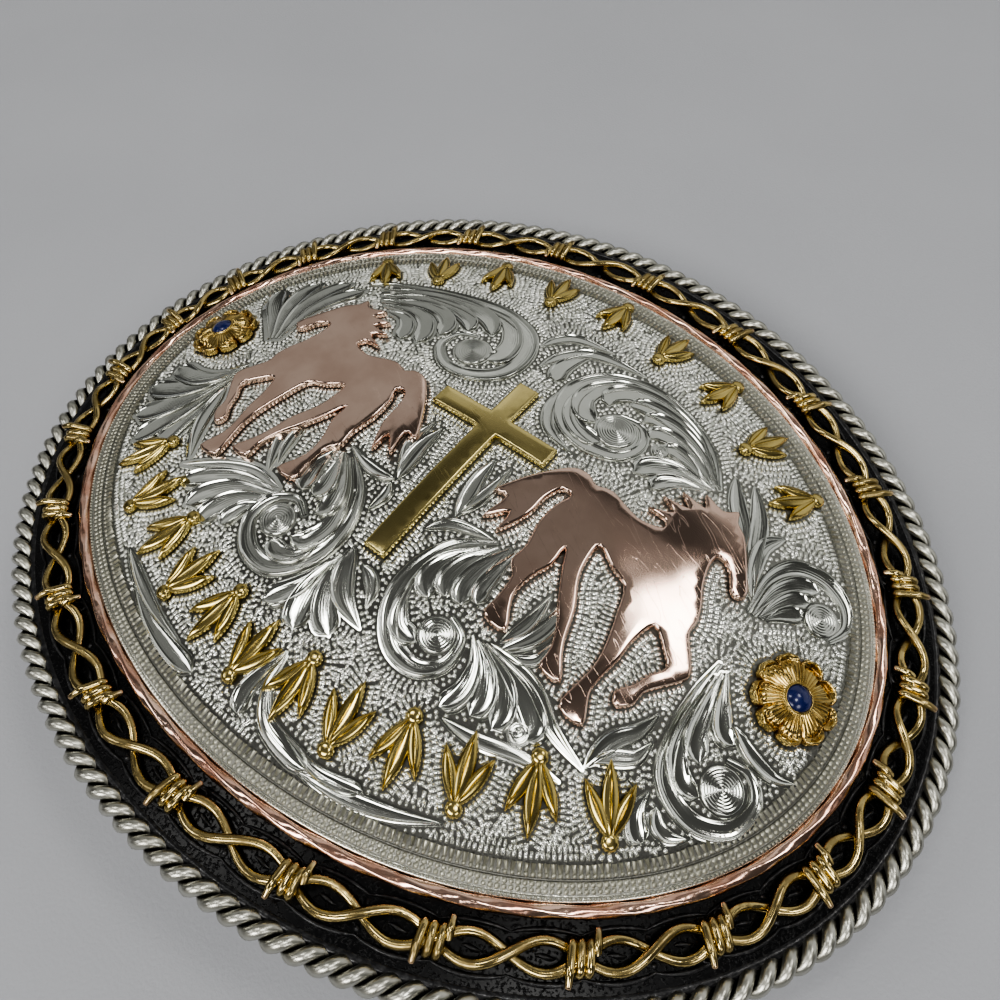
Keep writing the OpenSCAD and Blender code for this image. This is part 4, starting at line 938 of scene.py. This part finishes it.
figure_outlines = [cross_outline, *horse_outlines, *rosette_outlines, *sprig_outlines]
outlines = [("figure", split_sides(edge, OUTLINE_SIDE)) for edge in figure_outlines]
outlines += [("scroll", split_sides(edge, OUTLINE_SIDE)) for edge in leaf_outlines]
grid_x, grid_y = np.arange(-MAP_X, MAP_X, CELL), np.arange(-MAP_Y, MAP_Y, CELL)
map_x, map_y = np.meshgrid(grid_x, grid_y, indexing="ij")


def cell(p):
    """The map's cell that each point lies in."""
    nearest = (np.rint((p[..., k] - grid[0]) / CELL).astype(int) for k, grid in ((0, grid_x), (1, grid_y)))
    return tuple(np.clip(index, 0, size - 1) for index, size in zip(nearest, map_x.shape))


covered = np.zeros(map_x.shape, bool)
for _, edge in outlines:
    coarse = edge[::2]
    low, high = cell(coarse.min(0) - CELL), cell(coarse.max(0) + CELL)
    part = (slice(low[0], high[0] + 1), slice(low[1], high[1] + 1))
    covered[part] |= within(map_x[part], map_y[part], coarse)
rim_line, rim_out = evenly_round(SILVER_A, SILVER_B, 2000, -BORDER_W)
outside = (map_x / (SILVER_A - BORDER_W)) ** 2 + (map_y / (SILVER_B - BORDER_W)) ** 2 > 1
field = ~covered & ~outside

walks = []
for kind, edge in outlines:
    away = np.roll(edge, -1, 0) - np.roll(edge, 1, 0)
    away = np.stack([away[:, 1], -away[:, 0]], -1)
    away /= np.maximum(np.linalg.norm(away, axis=1), 1e-9)[:, None]
    free = ~covered[cell(edge + away * OPEN_AT)]
    if free.any():
        walks.append((kind, edge[free], away[free]))
walks.append(("border", rim_line[:, :2], -rim_out[:, :2]))
seeds = np.concatenate([w[1] for w in walks])
nearest = np.full(map_x.shape, -1)
nearest[cell(seeds)] = np.arange(len(seeds))
reach = np.where(nearest >= 0, 0.0, 1e9)


def landing(*moves):
    """The cells of the map that others land on when all of it moves by so many cells."""
    return tuple(slice(max(0, move), size + min(0, move)) for move, size in zip(moves, map_x.shape))


for step in (64, 32, 16, 8, 4, 2, 1, 1):
    for dx, dy in ((1, 0), (-1, 0), (0, 1), (0, -1), (1, 1), (-1, 1), (1, -1), (-1, -1)):
        here, there = landing(dx * step, dy * step), landing(-dx * step, -dy * step)
        found = nearest[there]
        gap = np.hypot(map_x[here] - seeds[found, 0], map_y[here] - seeds[found, 1])
        better = (found >= 0) & (gap < reach[here])
        nearest[here] = np.where(better, found, nearest[here])
        reach[here] = np.where(better, gap, reach[here])

taken = {}


def is_free(spot, room):
    """Whether no cut lies closer than room; notes the spot as taken if so."""
    i, j = int(spot[0] // 0.5), int(spot[1] // 0.5)
    for a in (i - 1, i, i + 1):
        for b in (j - 1, j, j + 1):
            for other in taken.get((a, b), ()):
                if (other[0] - spot[0]) ** 2 + (other[1] - spot[1]) ** 2 < room * room:
                    return False
    taken.setdefault((i, j), []).append((spot[0], spot[1]))
    return True


teeth, beads = [], []
for row in range(ROWS):
    for kind, edge, away in walks:
        scroll = kind == "scroll"
        beaded = scroll and row == 0
        depth = BEAD_DEPTH if scroll else FIRST_DEPTH
        if scroll and row > 0:
            depth += AFTER_BEADS
        depth += ROW_GAP * max(0, row - scroll)
        spots = edge + away * depth
        near, fits = reach[cell(spots)], field[cell(spots)]
        gap, room, cuts = (BEAD_GAP, BEAD_ROOM, beads) if beaded else (TOOTH_GAP, TOOTH_ROOM, teeth)
        last, wait = spots[0], row % 2 * gap / 2
        for spot, out, clear, fit in zip(spots, away, near, fits):
            if not fit or clear < depth - CROWDED or math.dist(spot, last) < wait:
                continue
            if is_free(spot, room):
                cuts.append((*spot, *out))
                last, wait = spot, gap
for i in range(0, len(grid_x), FILL_STEP):
    for j in range(0, len(grid_y), FILL_STEP):
        spot = (grid_x[i], grid_y[j])
        if field[i, j] and reach[i, j] > FILL_CLEAR and is_free(spot, FILL_ROOM):
            out = np.array(spot) - seeds[nearest[i, j]]
            out /= np.linalg.norm(out)
            teeth.append((*spot, *out))
teeth, beads = np.array(teeth), np.array(beads)

rng = np.random.default_rng(11)


def cut_teeth(mould, places, length, width, height, base):
    """Wedges at places [x, y, outward x, outward y], each with a narrow top that rises outward."""
    n = len(places)
    out = turned(places[:, 2:], rng.normal(0, SWERVE, n))
    size = rng.uniform(*SIZE_SPAN, (3, n, 1))
    run = np.array([-0.5, 0.5, 0.5, -0.5, -0.36, 0.4, 0.4, -0.36]) * length * size[0]
    wide = np.array([-0.34, -0.5, 0.5, 0.34, -0.12, -0.22, 0.22, 0.12]) * width * size[1]
    tilt = rng.normal(0, TILT, (n, 1)) * np.array([0, 0, 0, 0, -1, -1, 1, 1])
    rise = base + (np.array([0, 0, 0, 0, 0.6, 1.0, 1.0, 0.6]) * size[2] + tilt) * height
    x = places[:, :1] + out[:, :1] * run - out[:, 1:] * wide
    y = places[:, 1:2] + out[:, 1:] * run + out[:, :1] * wide
    wedge = [(0, 1, 5, 4), (2, 3, 7, 6), (3, 0, 4, 7), (1, 2, 6, 5), (4, 5, 6, 7), (0, 3, 2, 1)]
    mould.copies(on_dome(np.stack([x, y], -1), rise), wedge, np.repeat(rng.uniform(0, 1, n), 8))


tooth_silver = Finish("tooled_silver")
luck = tooth_silver.mark()
handled = tooth_silver.place_along(0).ease(-2, -26) * 0.6 + tooth_silver.place_along(1).ease(0, 20) * 0.4
tooth_silver.dress(
    Base_Color=tooth_silver.blend(luck, (0.92, 0.93, 0.89, 1), (0.62, 0.63, 0.58, 1)),
    Metallic=0.85,
    Roughness=0.13 + luck * 0.12 + handled * 0.28,
    Normal=tooth_silver.bump(tooth_silver.grain(0.5, 2), 0.006),
)
worn_silver = Finish("worn_border_silver")
luck = worn_silver.mark()
film = worn_silver.grain(3, 4)
bare = worn_silver.blend(luck, (0.60, 0.60, 0.53, 1), (0.46, 0.46, 0.39, 1))
worn_silver.dress(
    Base_Color=worn_silver.blend(film, bare, (0.40, 0.39, 0.32, 1)),
    Metallic=0.85,
    Roughness=0.33 + luck * 0.12,
    Normal=worn_silver.bump(film, 0.03),
)
field_cuts = Mould()
cut_teeth(field_cuts, teeth, TOOTH_L, TOOTH_W, TOOTH_H, -FIELD_DROP - CUT_SINK)
field_cuts.cast("field_cuts", tooth_silver, "engraved_silver", crease=100)
border_cuts = Mould()
p, out = evenly_round(SILVER_A, SILVER_B, BORDER_TEETH, -BORDER_ROW_IN)
border_places = np.concatenate([p[:, :2], -out[:, :2]], 1)
cut_teeth(border_cuts, border_places, BORDER_TOOTH_L, BORDER_TOOTH_W, BORDER_TOOTH_H, -0.1)
border_cuts.cast("border_cuts", worn_silver, "engraved_silver", crease=75)
t = np.arange(6) * math.pi / 3
circle = np.stack([np.cos(t), np.sin(t), 0 * t], -1)
ring = np.concatenate([circle, circle * 0.72 + (0, 0, 0.7), [(0, 0, 1)]])
sides = [(k, (k + 1) % 6) for k in range(6)]
shell = [(a, b, b + 6, a + 6) for a, b in sides]
shell += [(a + 6, b + 6, 12) for a, b in sides] + [(5, 4, 3, 2, 1, 0)]


def strike_beads(name, finish, places, radius, high, base):
    """A row of round beads left by a cupped punch."""
    row = Mould()
    size = rng.uniform(0.85, 1.15, (len(places), 1))
    p = places[:, None, :2] + ring[:, :2] * radius * size[:, None]
    luck = np.repeat(rng.uniform(0, 1, len(places)), len(ring))
    row.copies(on_dome(p, ring[:, 2] * high + base), shell, luck)
    row.cast(name, finish, "engraved_silver", crease=80)


strike_beads("scroll_beads", tooth_silver, beads, BEAD_R, BEAD_H, -FIELD_DROP - CUT_SINK)
for name, inset, count, radius, high, base in BEAD_ROWS:
    p, _ = evenly_round(SILVER_A, SILVER_B, count, -inset)
    strike_beads(name, worn_silver, p, radius, high, base)


# The cross is cut from thick brass sheet, polished flat and soldered to the dome, with its top edges
# eased over by the buff. The horses are made in the same way from copper sheet.
FIGURE_T = 0.8
EDGE_R, EDGE_STEPS = 0.26, (25, 50, 72, 90)
INNER_GRID, INNER_CLEAR = 0.7, 0.35


def figure(outline, name, finish, slot, node):
    """A flat figure laid on the dome, with upright sides and an eased top edge."""
    ahead, behind = np.roll(outline, -1, 0) - outline, outline - np.roll(outline, 1, 0)
    square = [np.stack([d[:, 1], -d[:, 0]], -1) for d in (ahead, behind)]
    sides = [d / np.linalg.norm(d, axis=1)[:, None] for d in square]
    out = sides[0] + sides[1]
    out /= np.maximum(np.linalg.norm(out, axis=1), 0.2)[:, None]
    out /= np.maximum((out * sides[0]).sum(1), 0.6)[:, None]
    top = SEAM + FIGURE_T
    eased = [(1 - math.cos(a), 1 - math.sin(a)) for a in np.radians(EDGE_STEPS)]
    rings = [(0, SEAM), (0, top - EDGE_R)] + [(EDGE_R * a, top - EDGE_R * b) for a, b in eased]
    mould = Mould()
    rows = [outline - out * inset for inset, _ in rings]
    mould.lattice(np.stack([on_dome(r, rise) for r, (_, rise) in zip(rows, rings)]), round_cols=True)
    inner = rows[-1]
    columns, lines = (np.arange(inner[:, k].min(), inner[:, k].max(), INNER_GRID) for k in (0, 1))
    gx, gy = np.meshgrid(columns, lines, indexing="ij")
    clear = np.min([np.hypot(gx - x, gy - y) for x, y in inner], 0)
    keep = within(gx, gy, inner) & (clear > INNER_CLEAR)
    spots = np.concatenate([inner, np.stack([gx[keep], gy[keep]], -1)])
    n = len(inner)
    edges = [(k, (k + 1) % n) for k in range(n)]
    verts, _, faces, origin, _, _ = delaunay_2d_cdt([Vector(p) for p in spots], edges, [], 1, 1e-6)
    number, extra = [], []
    for spot, source in zip(verts, origin):
        if source and min(source) < n:
            number.append(min(source) - n)
        else:
            number.append(len(extra))
            extra.append(spot[:])
    extra = on_dome(np.array(extra), top)
    everything = np.concatenate([extra, mould.points[-1][-n:]])
    made = [[number[v] for v in face] for face in faces]
    for k, (first, second, third, *_) in enumerate(made):
        a, b, c = everything[first], everything[second], everything[third]
        if np.cross(b - a, c - a)[2] <= 0:
            made[k] = made[k][::-1]
    mould.add(extra, made + [[k - mould.count for k in reversed(range(n))]])
    mould.cast(name, finish, slot, [node], crease=40)


brass = Finish("polished_brass")
smear = brass.grain(7, 1)
fine = brass.scratches(9, 1.1, 0.35, 0.006) + brass.scratches(7, 1.3, 1.75, 0.004)
spots = brass.grain(2.5, 4).ease(0.6, 0.75)
rubbed_brass = brass.blend(smear, (0.80, 0.69, 0.34, 1), (0.64, 0.54, 0.25, 1))
brass.dress(
    Base_Color=brass.blend(spots * 0.3, rubbed_brass, (0.36, 0.28, 0.13, 1)),
    Metallic=1.0,
    Roughness=0.13 + smear * 0.12 + fine * 0.08,
    Normal=brass.bump(smear, 0.05),
)
figure(cross_outline, "soldered_brass_cross", brass, "polished_brass", "cross")
red_copper = Finish("polished_copper")
cloud = red_copper.grain(5, 3).ease(0.3, 0.7)
sheet = red_copper.grain(5, 0.5)
rubbed = red_copper.scratches(8, 1.2, 0.5, 0.004)
red_copper.dress(
    Base_Color=red_copper.blend(cloud, (0.85, 0.65, 0.55, 1), (0.72, 0.53, 0.44, 1)),
    Metallic=1.0,
    Roughness=0.07 + cloud * 0.07 + rubbed * 0.08,
    Normal=red_copper.bump(rubbed * -0.02 + sheet, 0.09),
)
for side, outline in zip(("right", "left"), horse_outlines):
    figure(outline, f"soldered_copper_horse_{side}", red_copper, "polished_copper", f"horse_{side}")


# Each rosette is struck from gilt bronze. Fine rays run out from the middle, and the outer part is
# folded into nine petals with a pocket and a curled bright end; the valleys, pockets and rays are
# painted dark as shade. A small domed blue stone is set in the middle in a narrow rim.
ROSETTE_T, CROWN_R = 1.3, 16.0
STONE_R, STONE_RISE = 1.2, 0.45
RAYS, RAY_DEEP = 5, 0.09
FOLD_FROM, FOLD_DEEP, FACE_DOWN = 0.35, 0.42, 0.06
POCKET_AT, POCKET_W, LIP_AT, LIP_W, LIP_HIGH = 0.76, 0.1, 0.92, 0.06, 0.22
RIM_W = 0.15
# Distance from the stone and height of the narrow rim, from its foot inside outward
STONE_RIM = [(0.02, 0.8), (0.03, 1.3), (0.08, 1.34), (0.13, 1.28)]


def on_slope(p, side):
    """Points of a rosette set square to the dome at its place."""
    a, b = -math.asin(ROSETTE_Y / DOME_RY), side * math.asin(ROSETTE_X / DOME_RX)
    lean = np.array(Matrix.Rotation(b, 3, "Y") @ Matrix.Rotation(a, 3, "X"))
    return p @ lean.T + (side * ROSETTE_X, ROSETTE_Y, dome_z(ROSETTE_X, ROSETTE_Y))


gilt = Finish("gilt_bronze")
warm = gilt.grain(1.5, 4).ease(0.35, 0.7)
# The mark is painted shade: valleys, pockets and rays are painted dark brown.
painted_fold_shade = gilt.mark()
open_gilt = gilt.blend(warm, (0.64, 0.50, 0.22, 1), (0.47, 0.34, 0.125, 1))
gilt.dress(
    Base_Color=gilt.blend(painted_fold_shade, open_gilt, (0.26, 0.14, 0.04, 1)),
    Metallic=1.0,
    Roughness=0.14 + warm * 0.1 + painted_fold_shade * 0.1,
    Normal=gilt.bump(gilt.grain(1.2, 2), 0.012),
)
lapis = Finish("blue_stone")
vein = lapis.grain(0.7, 4)
lapis.dress(
    Base_Color=lapis.blend(vein, (0.004, 0.008, 0.06, 1), (0.012, 0.025, 0.16, 1)),
    Roughness=0.22 + vein * 0.1,
    Normal=lapis.bump(lapis.grain(0.2, 2), 0.004),
)
lapis.surface.inputs["Coat Weight"].default_value = 0.7
lapis.surface.inputs["Coat Roughness"].default_value = 0.08
ratios = np.concatenate([np.linspace(0, 0.62, 15), np.linspace(0.65, 1, 19)])[:, None]
t = np.arange(PETALS * 56) * 2 * math.pi / (PETALS * 56)
share = 2 * math.pi / PETALS
off = ((t + share / 2) % share - share / 2) / (share / 2)
petal = ((t + share / 2) // share).astype(int) % PETALS
edge_r = rosette_edge(t) * (1 - 0.015 * np.sin(off * math.pi * 1.5) ** 2)


def petal_rows(rng):
    """Rows of the rosette's face from the rim of the stone out, no two petals alike, and how much painted
    shade each point takes
    """
    spans = ((0.5, 1.2), (0.6, 1.15), (-0.35, 0.35))
    deep, high, lean = (rng.uniform(least, most, PETALS)[petal] for least, most in spans)
    r = STONE_R + RIM_W + (edge_r - STONE_R - RIM_W) * ratios
    outer = np.clip((ratios - FOLD_FROM) / (1 - FOLD_FROM), 0, 1)
    valley = np.abs(off) ** 3 * outer**1.3
    rays = np.sin(off * math.pi * RAYS / 2) ** 2 * np.clip(np.minimum(ratios * 14, (0.8 - ratios) * 6), 0, 1)
    across = np.clip(1 - (off - lean) ** 2 * 1.2, 0, 1)
    pocket = np.exp(-(((ratios - POCKET_AT) / POCKET_W) ** 2)) * across * deep
    curl = np.exp(-(((ratios - LIP_AT) / LIP_W) ** 2)) * (1 - 0.6 * np.abs(off) ** 3) * high
    crown = ROSETTE_T - FACE_DOWN - r * r / (2 * CROWN_R)
    rise = crown - FOLD_DEEP * valley - RAY_DEEP * rays - FOLD_DEEP * pocket + LIP_HIGH * curl
    rise[-1] -= LIP_HIGH
    # Painted shade for the valleys between petals, the pockets and the rays.
    painted_fold_shade = np.clip(valley * 1.3 + pocket * 1.1 + rays * 0.55 - 0.15, 0, 1) + 0 * rise
    return np.stack([r * np.sin(t), r * np.cos(t), rise], -1), painted_fold_shade


def rings(profile, steps=96):
    """Rows of a turned form from [radius, height] pairs."""
    a = np.arange(steps) * 2 * math.pi / steps
    return np.stack([np.stack([r * np.sin(a), r * np.cos(a), 0 * a + z], -1) for r, z in profile])


rng = np.random.default_rng(5)
for side, word in ((1, "right"), (-1, "left")):
    rosette = Mould()
    face, painted_fold_shade = petal_rows(rng)
    foot = face[-1] * (1, 1, 0) + (0, 0, SEAM)
    seat = rings([(STONE_R + away, z) for away, z in STONE_RIM], len(t))
    fold_shade = np.concatenate([0 * painted_fold_shade[:4], painted_fold_shade, painted_fold_shade[-1:]])
    p = on_slope(np.concatenate([seat, face, foot[None]]), side)
    rosette.lattice(p, mark=fold_shade, round_cols=True, outward=False)
    rosette.cast(f"struck_rosette_{word}", gilt, "bronze_rosette", [f"flower_{word}"], crease=100)
    stone = Mould()
    ball = (STONE_R**2 + STONE_RISE**2) / (2 * STONE_RISE)
    top = ROSETTE_T + STONE_RISE
    arc = [(q, top - ball + math.sqrt(ball**2 - q * q)) for q in np.linspace(STONE_R, 0.01, 14)]
    p = on_slope(rings([(STONE_R * 0.98, 0.82), (STONE_R, 1.0), *arc], 64), side)
    stone.lattice(p, round_cols=True, outward=False)
    stone.cast(f"domed_stone_{word}", lapis, "blue_stone", [f"stone_{word}"], crease=60)


# The sprigs stand in two rows, above and below the horses, every second one upside down. Each is
# three crowned leaves with a cut vein, joined at a round bud, cast in brass and gilded.
VEIN, EDGE_H, SPRIG_ROWS = 0.1, 0.45, 20
# Share of the bud's radius and height, from its foot to its top
BUD = [(1, SEAM), (1, 0.5), (0.93, 0.66), (0.72, 0.79), (0.4, 0.84), (0.01 / BUD_R, 0.85)]
leaf_u = np.array([-1, -1, -0.86, -0.6, -0.3, -0.13, 0, 0.13, 0.3, 0.6, 0.86, 1, 1])
leaf_rise = np.array([0, 0.5, 0.62, 0.72, 0.8, 0.82, 0.82 - VEIN, 0.82, 0.8, 0.72, 0.62, 0.5, 0])
sprig_gilt = Finish("gilt_brass")
soft = sprig_gilt.grain(2.5, 4)
sprig_gilt.dress(
    Base_Color=sprig_gilt.blend(soft, (0.66, 0.55, 0.25, 1), (0.48, 0.38, 0.155, 1)),
    Metallic=1.0,
    Roughness=0.15 + soft * 0.12,
    Normal=sprig_gilt.bump(soft, 0.03),
)
for name, height, spot, lean in sprig_places():
    sprig = Mould()
    for length, width, swing in sprig_leaves(height):
        y = length * (1 - np.cos(np.linspace(0.12, 1, SPRIG_ROWS) * math.pi)) / 2
        half = np.maximum(lens_half(length, width, y), 0.004)
        taper = np.clip(half / (width / 2) * 1.8, 0, 1)[:, None]
        flat = np.stack(np.broadcast_arrays(leaf_u * half[:, None], y[:, None]), -1)
        flat = turned(turned(flat, swing) + (0, BUD_R - height / 2), lean) + spot
        rise = np.where(leaf_rise > 0, EDGE_H + (leaf_rise - EDGE_H) * taper, 0) + SEAM
        sprig.lattice(on_dome(flat, rise), round_cols=True)
    ball = rings([(BUD_R * share, z) for share, z in BUD], 24)
    flat = turned(ball[..., :2] + (0, BUD_R - height / 2), lean) + spot
    sprig.lattice(on_dome(flat, ball[..., 2]), round_cols=True, outward=False)
    sprig.cast("cast_" + name, sprig_gilt, "gilt_sprig", [name], crease=45)


# The belt loop is one round nickel silver wire bent to a bar and two legs, soldered to the back; the
# buckle's tongue is a fixed hook, a round post with a domed end on a soldered foot.
BACK_R = BEND_R - PLATE_T
LOOP_X, LOOP_R, LEG_Y = -34.0, 1.3, 20.5
LOOP_BEND = 2.4
HOOK_X, HOOK_R, FOOT_R, FOOT_T = 36.0, 1.5, 3.5, 1.2
SOLDER_TOP = 5.75
# Share of the wire's radius and height of the solder round a leg, from the wire to the plate
SOLDER = [(0.98, 3.0), (1.04, 4.4), (1.25, 5.2), (1.75, SOLDER_TOP)]


def back_z(x):
    """Height of the bent plate's back."""
    return BEND_Z + np.sqrt(BACK_R**2 - np.square(x))


satin = Finish("satin_nickel_silver")
drag = satin.grain((0.1, 8, 8), 3)
dull = satin.grain(2, 4)
satin.dress(
    Base_Color=satin.blend(dull, (0.62, 0.60, 0.55, 1), (0.48, 0.46, 0.41, 1)),
    Metallic=1.0,
    Roughness=0.27 + dull * 0.14 + drag * 0.08,
    Normal=satin.bump(drag + satin.grain(0.2, 3), 0.014),
)
loop = Mould()
leg_top = float(back_z(LOOP_X)) - SEAM
half = [(LEG_Y, leg_top - down) for down in (0, 0.8, 2)]
for a in np.linspace(0, math.pi / 2, 9):
    half.append((LEG_Y - LOOP_BEND + LOOP_BEND * math.cos(a), LOOP_R + LOOP_BEND - LOOP_BEND * math.sin(a)))
half.append((LEG_Y - LOOP_BEND - 4, LOOP_R))
path = half + [(0, LOOP_R)] + [(-y, z) for y, z in half[::-1]]
loop.tube(np.array([(LOOP_X, y, z) for y, z in path]), LOOP_R, 32)
for side in (-1, 1):
    solder = rings([(LOOP_R * share, z - SOLDER_TOP) for share, z in SOLDER], 40) + (LOOP_X, side * LEG_Y, 0)
    solder[..., 2] += back_z(solder[..., 0]) - SEAM
    loop.lattice(solder, round_cols=True)
loop.cast("soldered_belt_loop", satin, "plain_nickel_silver", ["belt_loop"])
hook = Mould()
tip = [(HOOK_R * math.sin(a), HOOK_R - HOOK_R * math.cos(a)) for a in np.linspace(0.02, math.pi / 2, 10)]
foot = float(back_z(HOOK_X)) - FOOT_T
post = rings([*tip, (HOOK_R, foot - 0.7), (HOOK_R + 0.12, foot - 0.3), (HOOK_R + 0.5, foot - 0.02)], 64)
disc = rings([(FOOT_R - 0.25, foot + 0.02), (FOOT_R - 0.07, foot + 0.08), (FOOT_R, foot + 0.25)], 64)
rim = rings([(FOOT_R, 0)], 64)
post, disc, rim = (q + (HOOK_X, 0, 0) for q in (post, disc, rim))
rim[..., 2] = back_z(rim[..., 0]) - SEAM
hook.lattice(np.concatenate([post, disc, rim]), round_cols=True)
hook.cast("soldered_hook", satin, "plain_nickel_silver", ["hook"], crease=40)


# The buckle lies face up on a pale table in a dim room, under small bright lamps and wide weak ones that
# stand for the walls. The camera is close over its lower right side and looks down across it.
TABLE_HALF = 1500
CAMERA_PLACE = (0.03262, -0.03133, 0.08097)
CAMERA_RIGHT = Vector((0.7898716, 0.6125978, -0.0287545))
CAMERA_DOWN = Vector((0.5063155, -0.6778547, -0.5330644))
CAMERA_AHEAD = Vector((-0.3460454, 0.4064935, -0.8455859))
lens_data = bpy.data.cameras.new("camera")
lens_data.lens = 27.92
lens_data.sensor_width = 36
lens_data.clip_start = 0.002
lens_data.clip_end = 20
camera = bpy.data.objects.new("camera", lens_data)
bpy.context.scene.collection.objects.link(camera)
held = Matrix((CAMERA_RIGHT, -CAMERA_DOWN, -CAMERA_AHEAD)).transposed().to_4x4()
camera.matrix_world = Matrix.Translation(CAMERA_PLACE) @ held
bpy.context.scene.camera = camera

table = Mould()
span = np.linspace(-1, 1, 9) * TABLE_HALF
gx, gy = np.meshgrid(span, span, indexing="ij")
table.lattice(np.stack([gx, gy, 0 * gx], -1), outward=False)
paper = Finish("pale_table")
paper.dress(
    Base_Color=paper.blend(paper.grain(40, 3), (0.50, 0.51, 0.54, 1), (0.44, 0.45, 0.48, 1)),
    Roughness=0.75,
    Normal=paper.bump(paper.grain(0.4, 4), 0.05),
)
floor = table.pour("table", paper)

world = bpy.data.worlds.new("room")
world.use_nodes = True
sky = world.node_tree.nodes["Background"].inputs
sky["Color"].default_value = (1.0, 0.99, 0.95, 1)
sky["Strength"].default_value = 0.07
scene = bpy.context.scene
scene.world = world
scene.view_settings.view_transform = "AgX"
scene.view_settings.look = "AgX - High Contrast"
# Name, direction in degrees round and up, distance, size, brightness of the face, tint
lamps = [
    ("back_wall", 100, 32, 0.8, (0.8, 0.55), 0.45, (1.0, 1.0, 0.97)),
    ("left_wall", 158, 30, 0.8, (0.7, 0.5), 0.25, (1.0, 1.0, 0.97)),
    ("right_wall", 45, 21, 0.8, (0.7, 0.5), 0.55, (1.0, 1.0, 0.98)),
    ("ceiling", 96, 67, 0.8, (0.5, 0.3), 0.13, (1.0, 0.99, 0.96)),
    ("window", 52, 60, 0.8, (0.2, 0.16), 6, (1.0, 0.98, 0.94)),
    ("left_lamp", 200, 70, 0.8, (0.12, 0.2), 7, (1.0, 0.99, 0.96)),
    ("west_wall", 192, 45, 0.8, (0.36, 0.3), 0.1, (1.0, 1.0, 0.97)),
    ("near_lamp", -18, 71, 0.8, (0.17, 0.16), 10, (1.0, 0.99, 0.96)),
    ("front_lamp", 275, 42, 0.8, (0.4, 0.22), 7.3, (1.0, 0.98, 0.95)),
    ("front_right_lamp", 332, 34, 0.8, (0.24, 0.2), 4, (1.0, 0.98, 0.95)),
    ("front_left_lamp", 222, 36, 0.8, (0.24, 0.2), 2.8, (1.0, 0.99, 0.97)),
    ("front_wall", 270, 12, 0.9, (1.2, 0.3), 0.2, (1.0, 0.98, 0.93)),
]
for name, round_to, up_to, far, size, bright_face, tint in lamps:
    a, e = math.radians(round_to), math.radians(up_to)
    spot = Vector((math.cos(e) * math.cos(a), math.cos(e) * math.sin(a), math.sin(e))) * far
    light = bpy.data.lights.new(name, "AREA")
    light.shape = "RECTANGLE"
    light.size, light.size_y = size
    light.energy = bright_face * math.pi * size[0] * size[1]
    light.color = tint
    lamp = bpy.data.objects.new(name, light)
    lamp.location = spot
    lamp.rotation_mode = "QUATERNION"
    lamp.rotation_quaternion = (Vector(spot) - Vector((0, 0, 0.012))).to_track_quat("Z", "Y")
    bpy.context.scene.collection.objects.link(lamp)
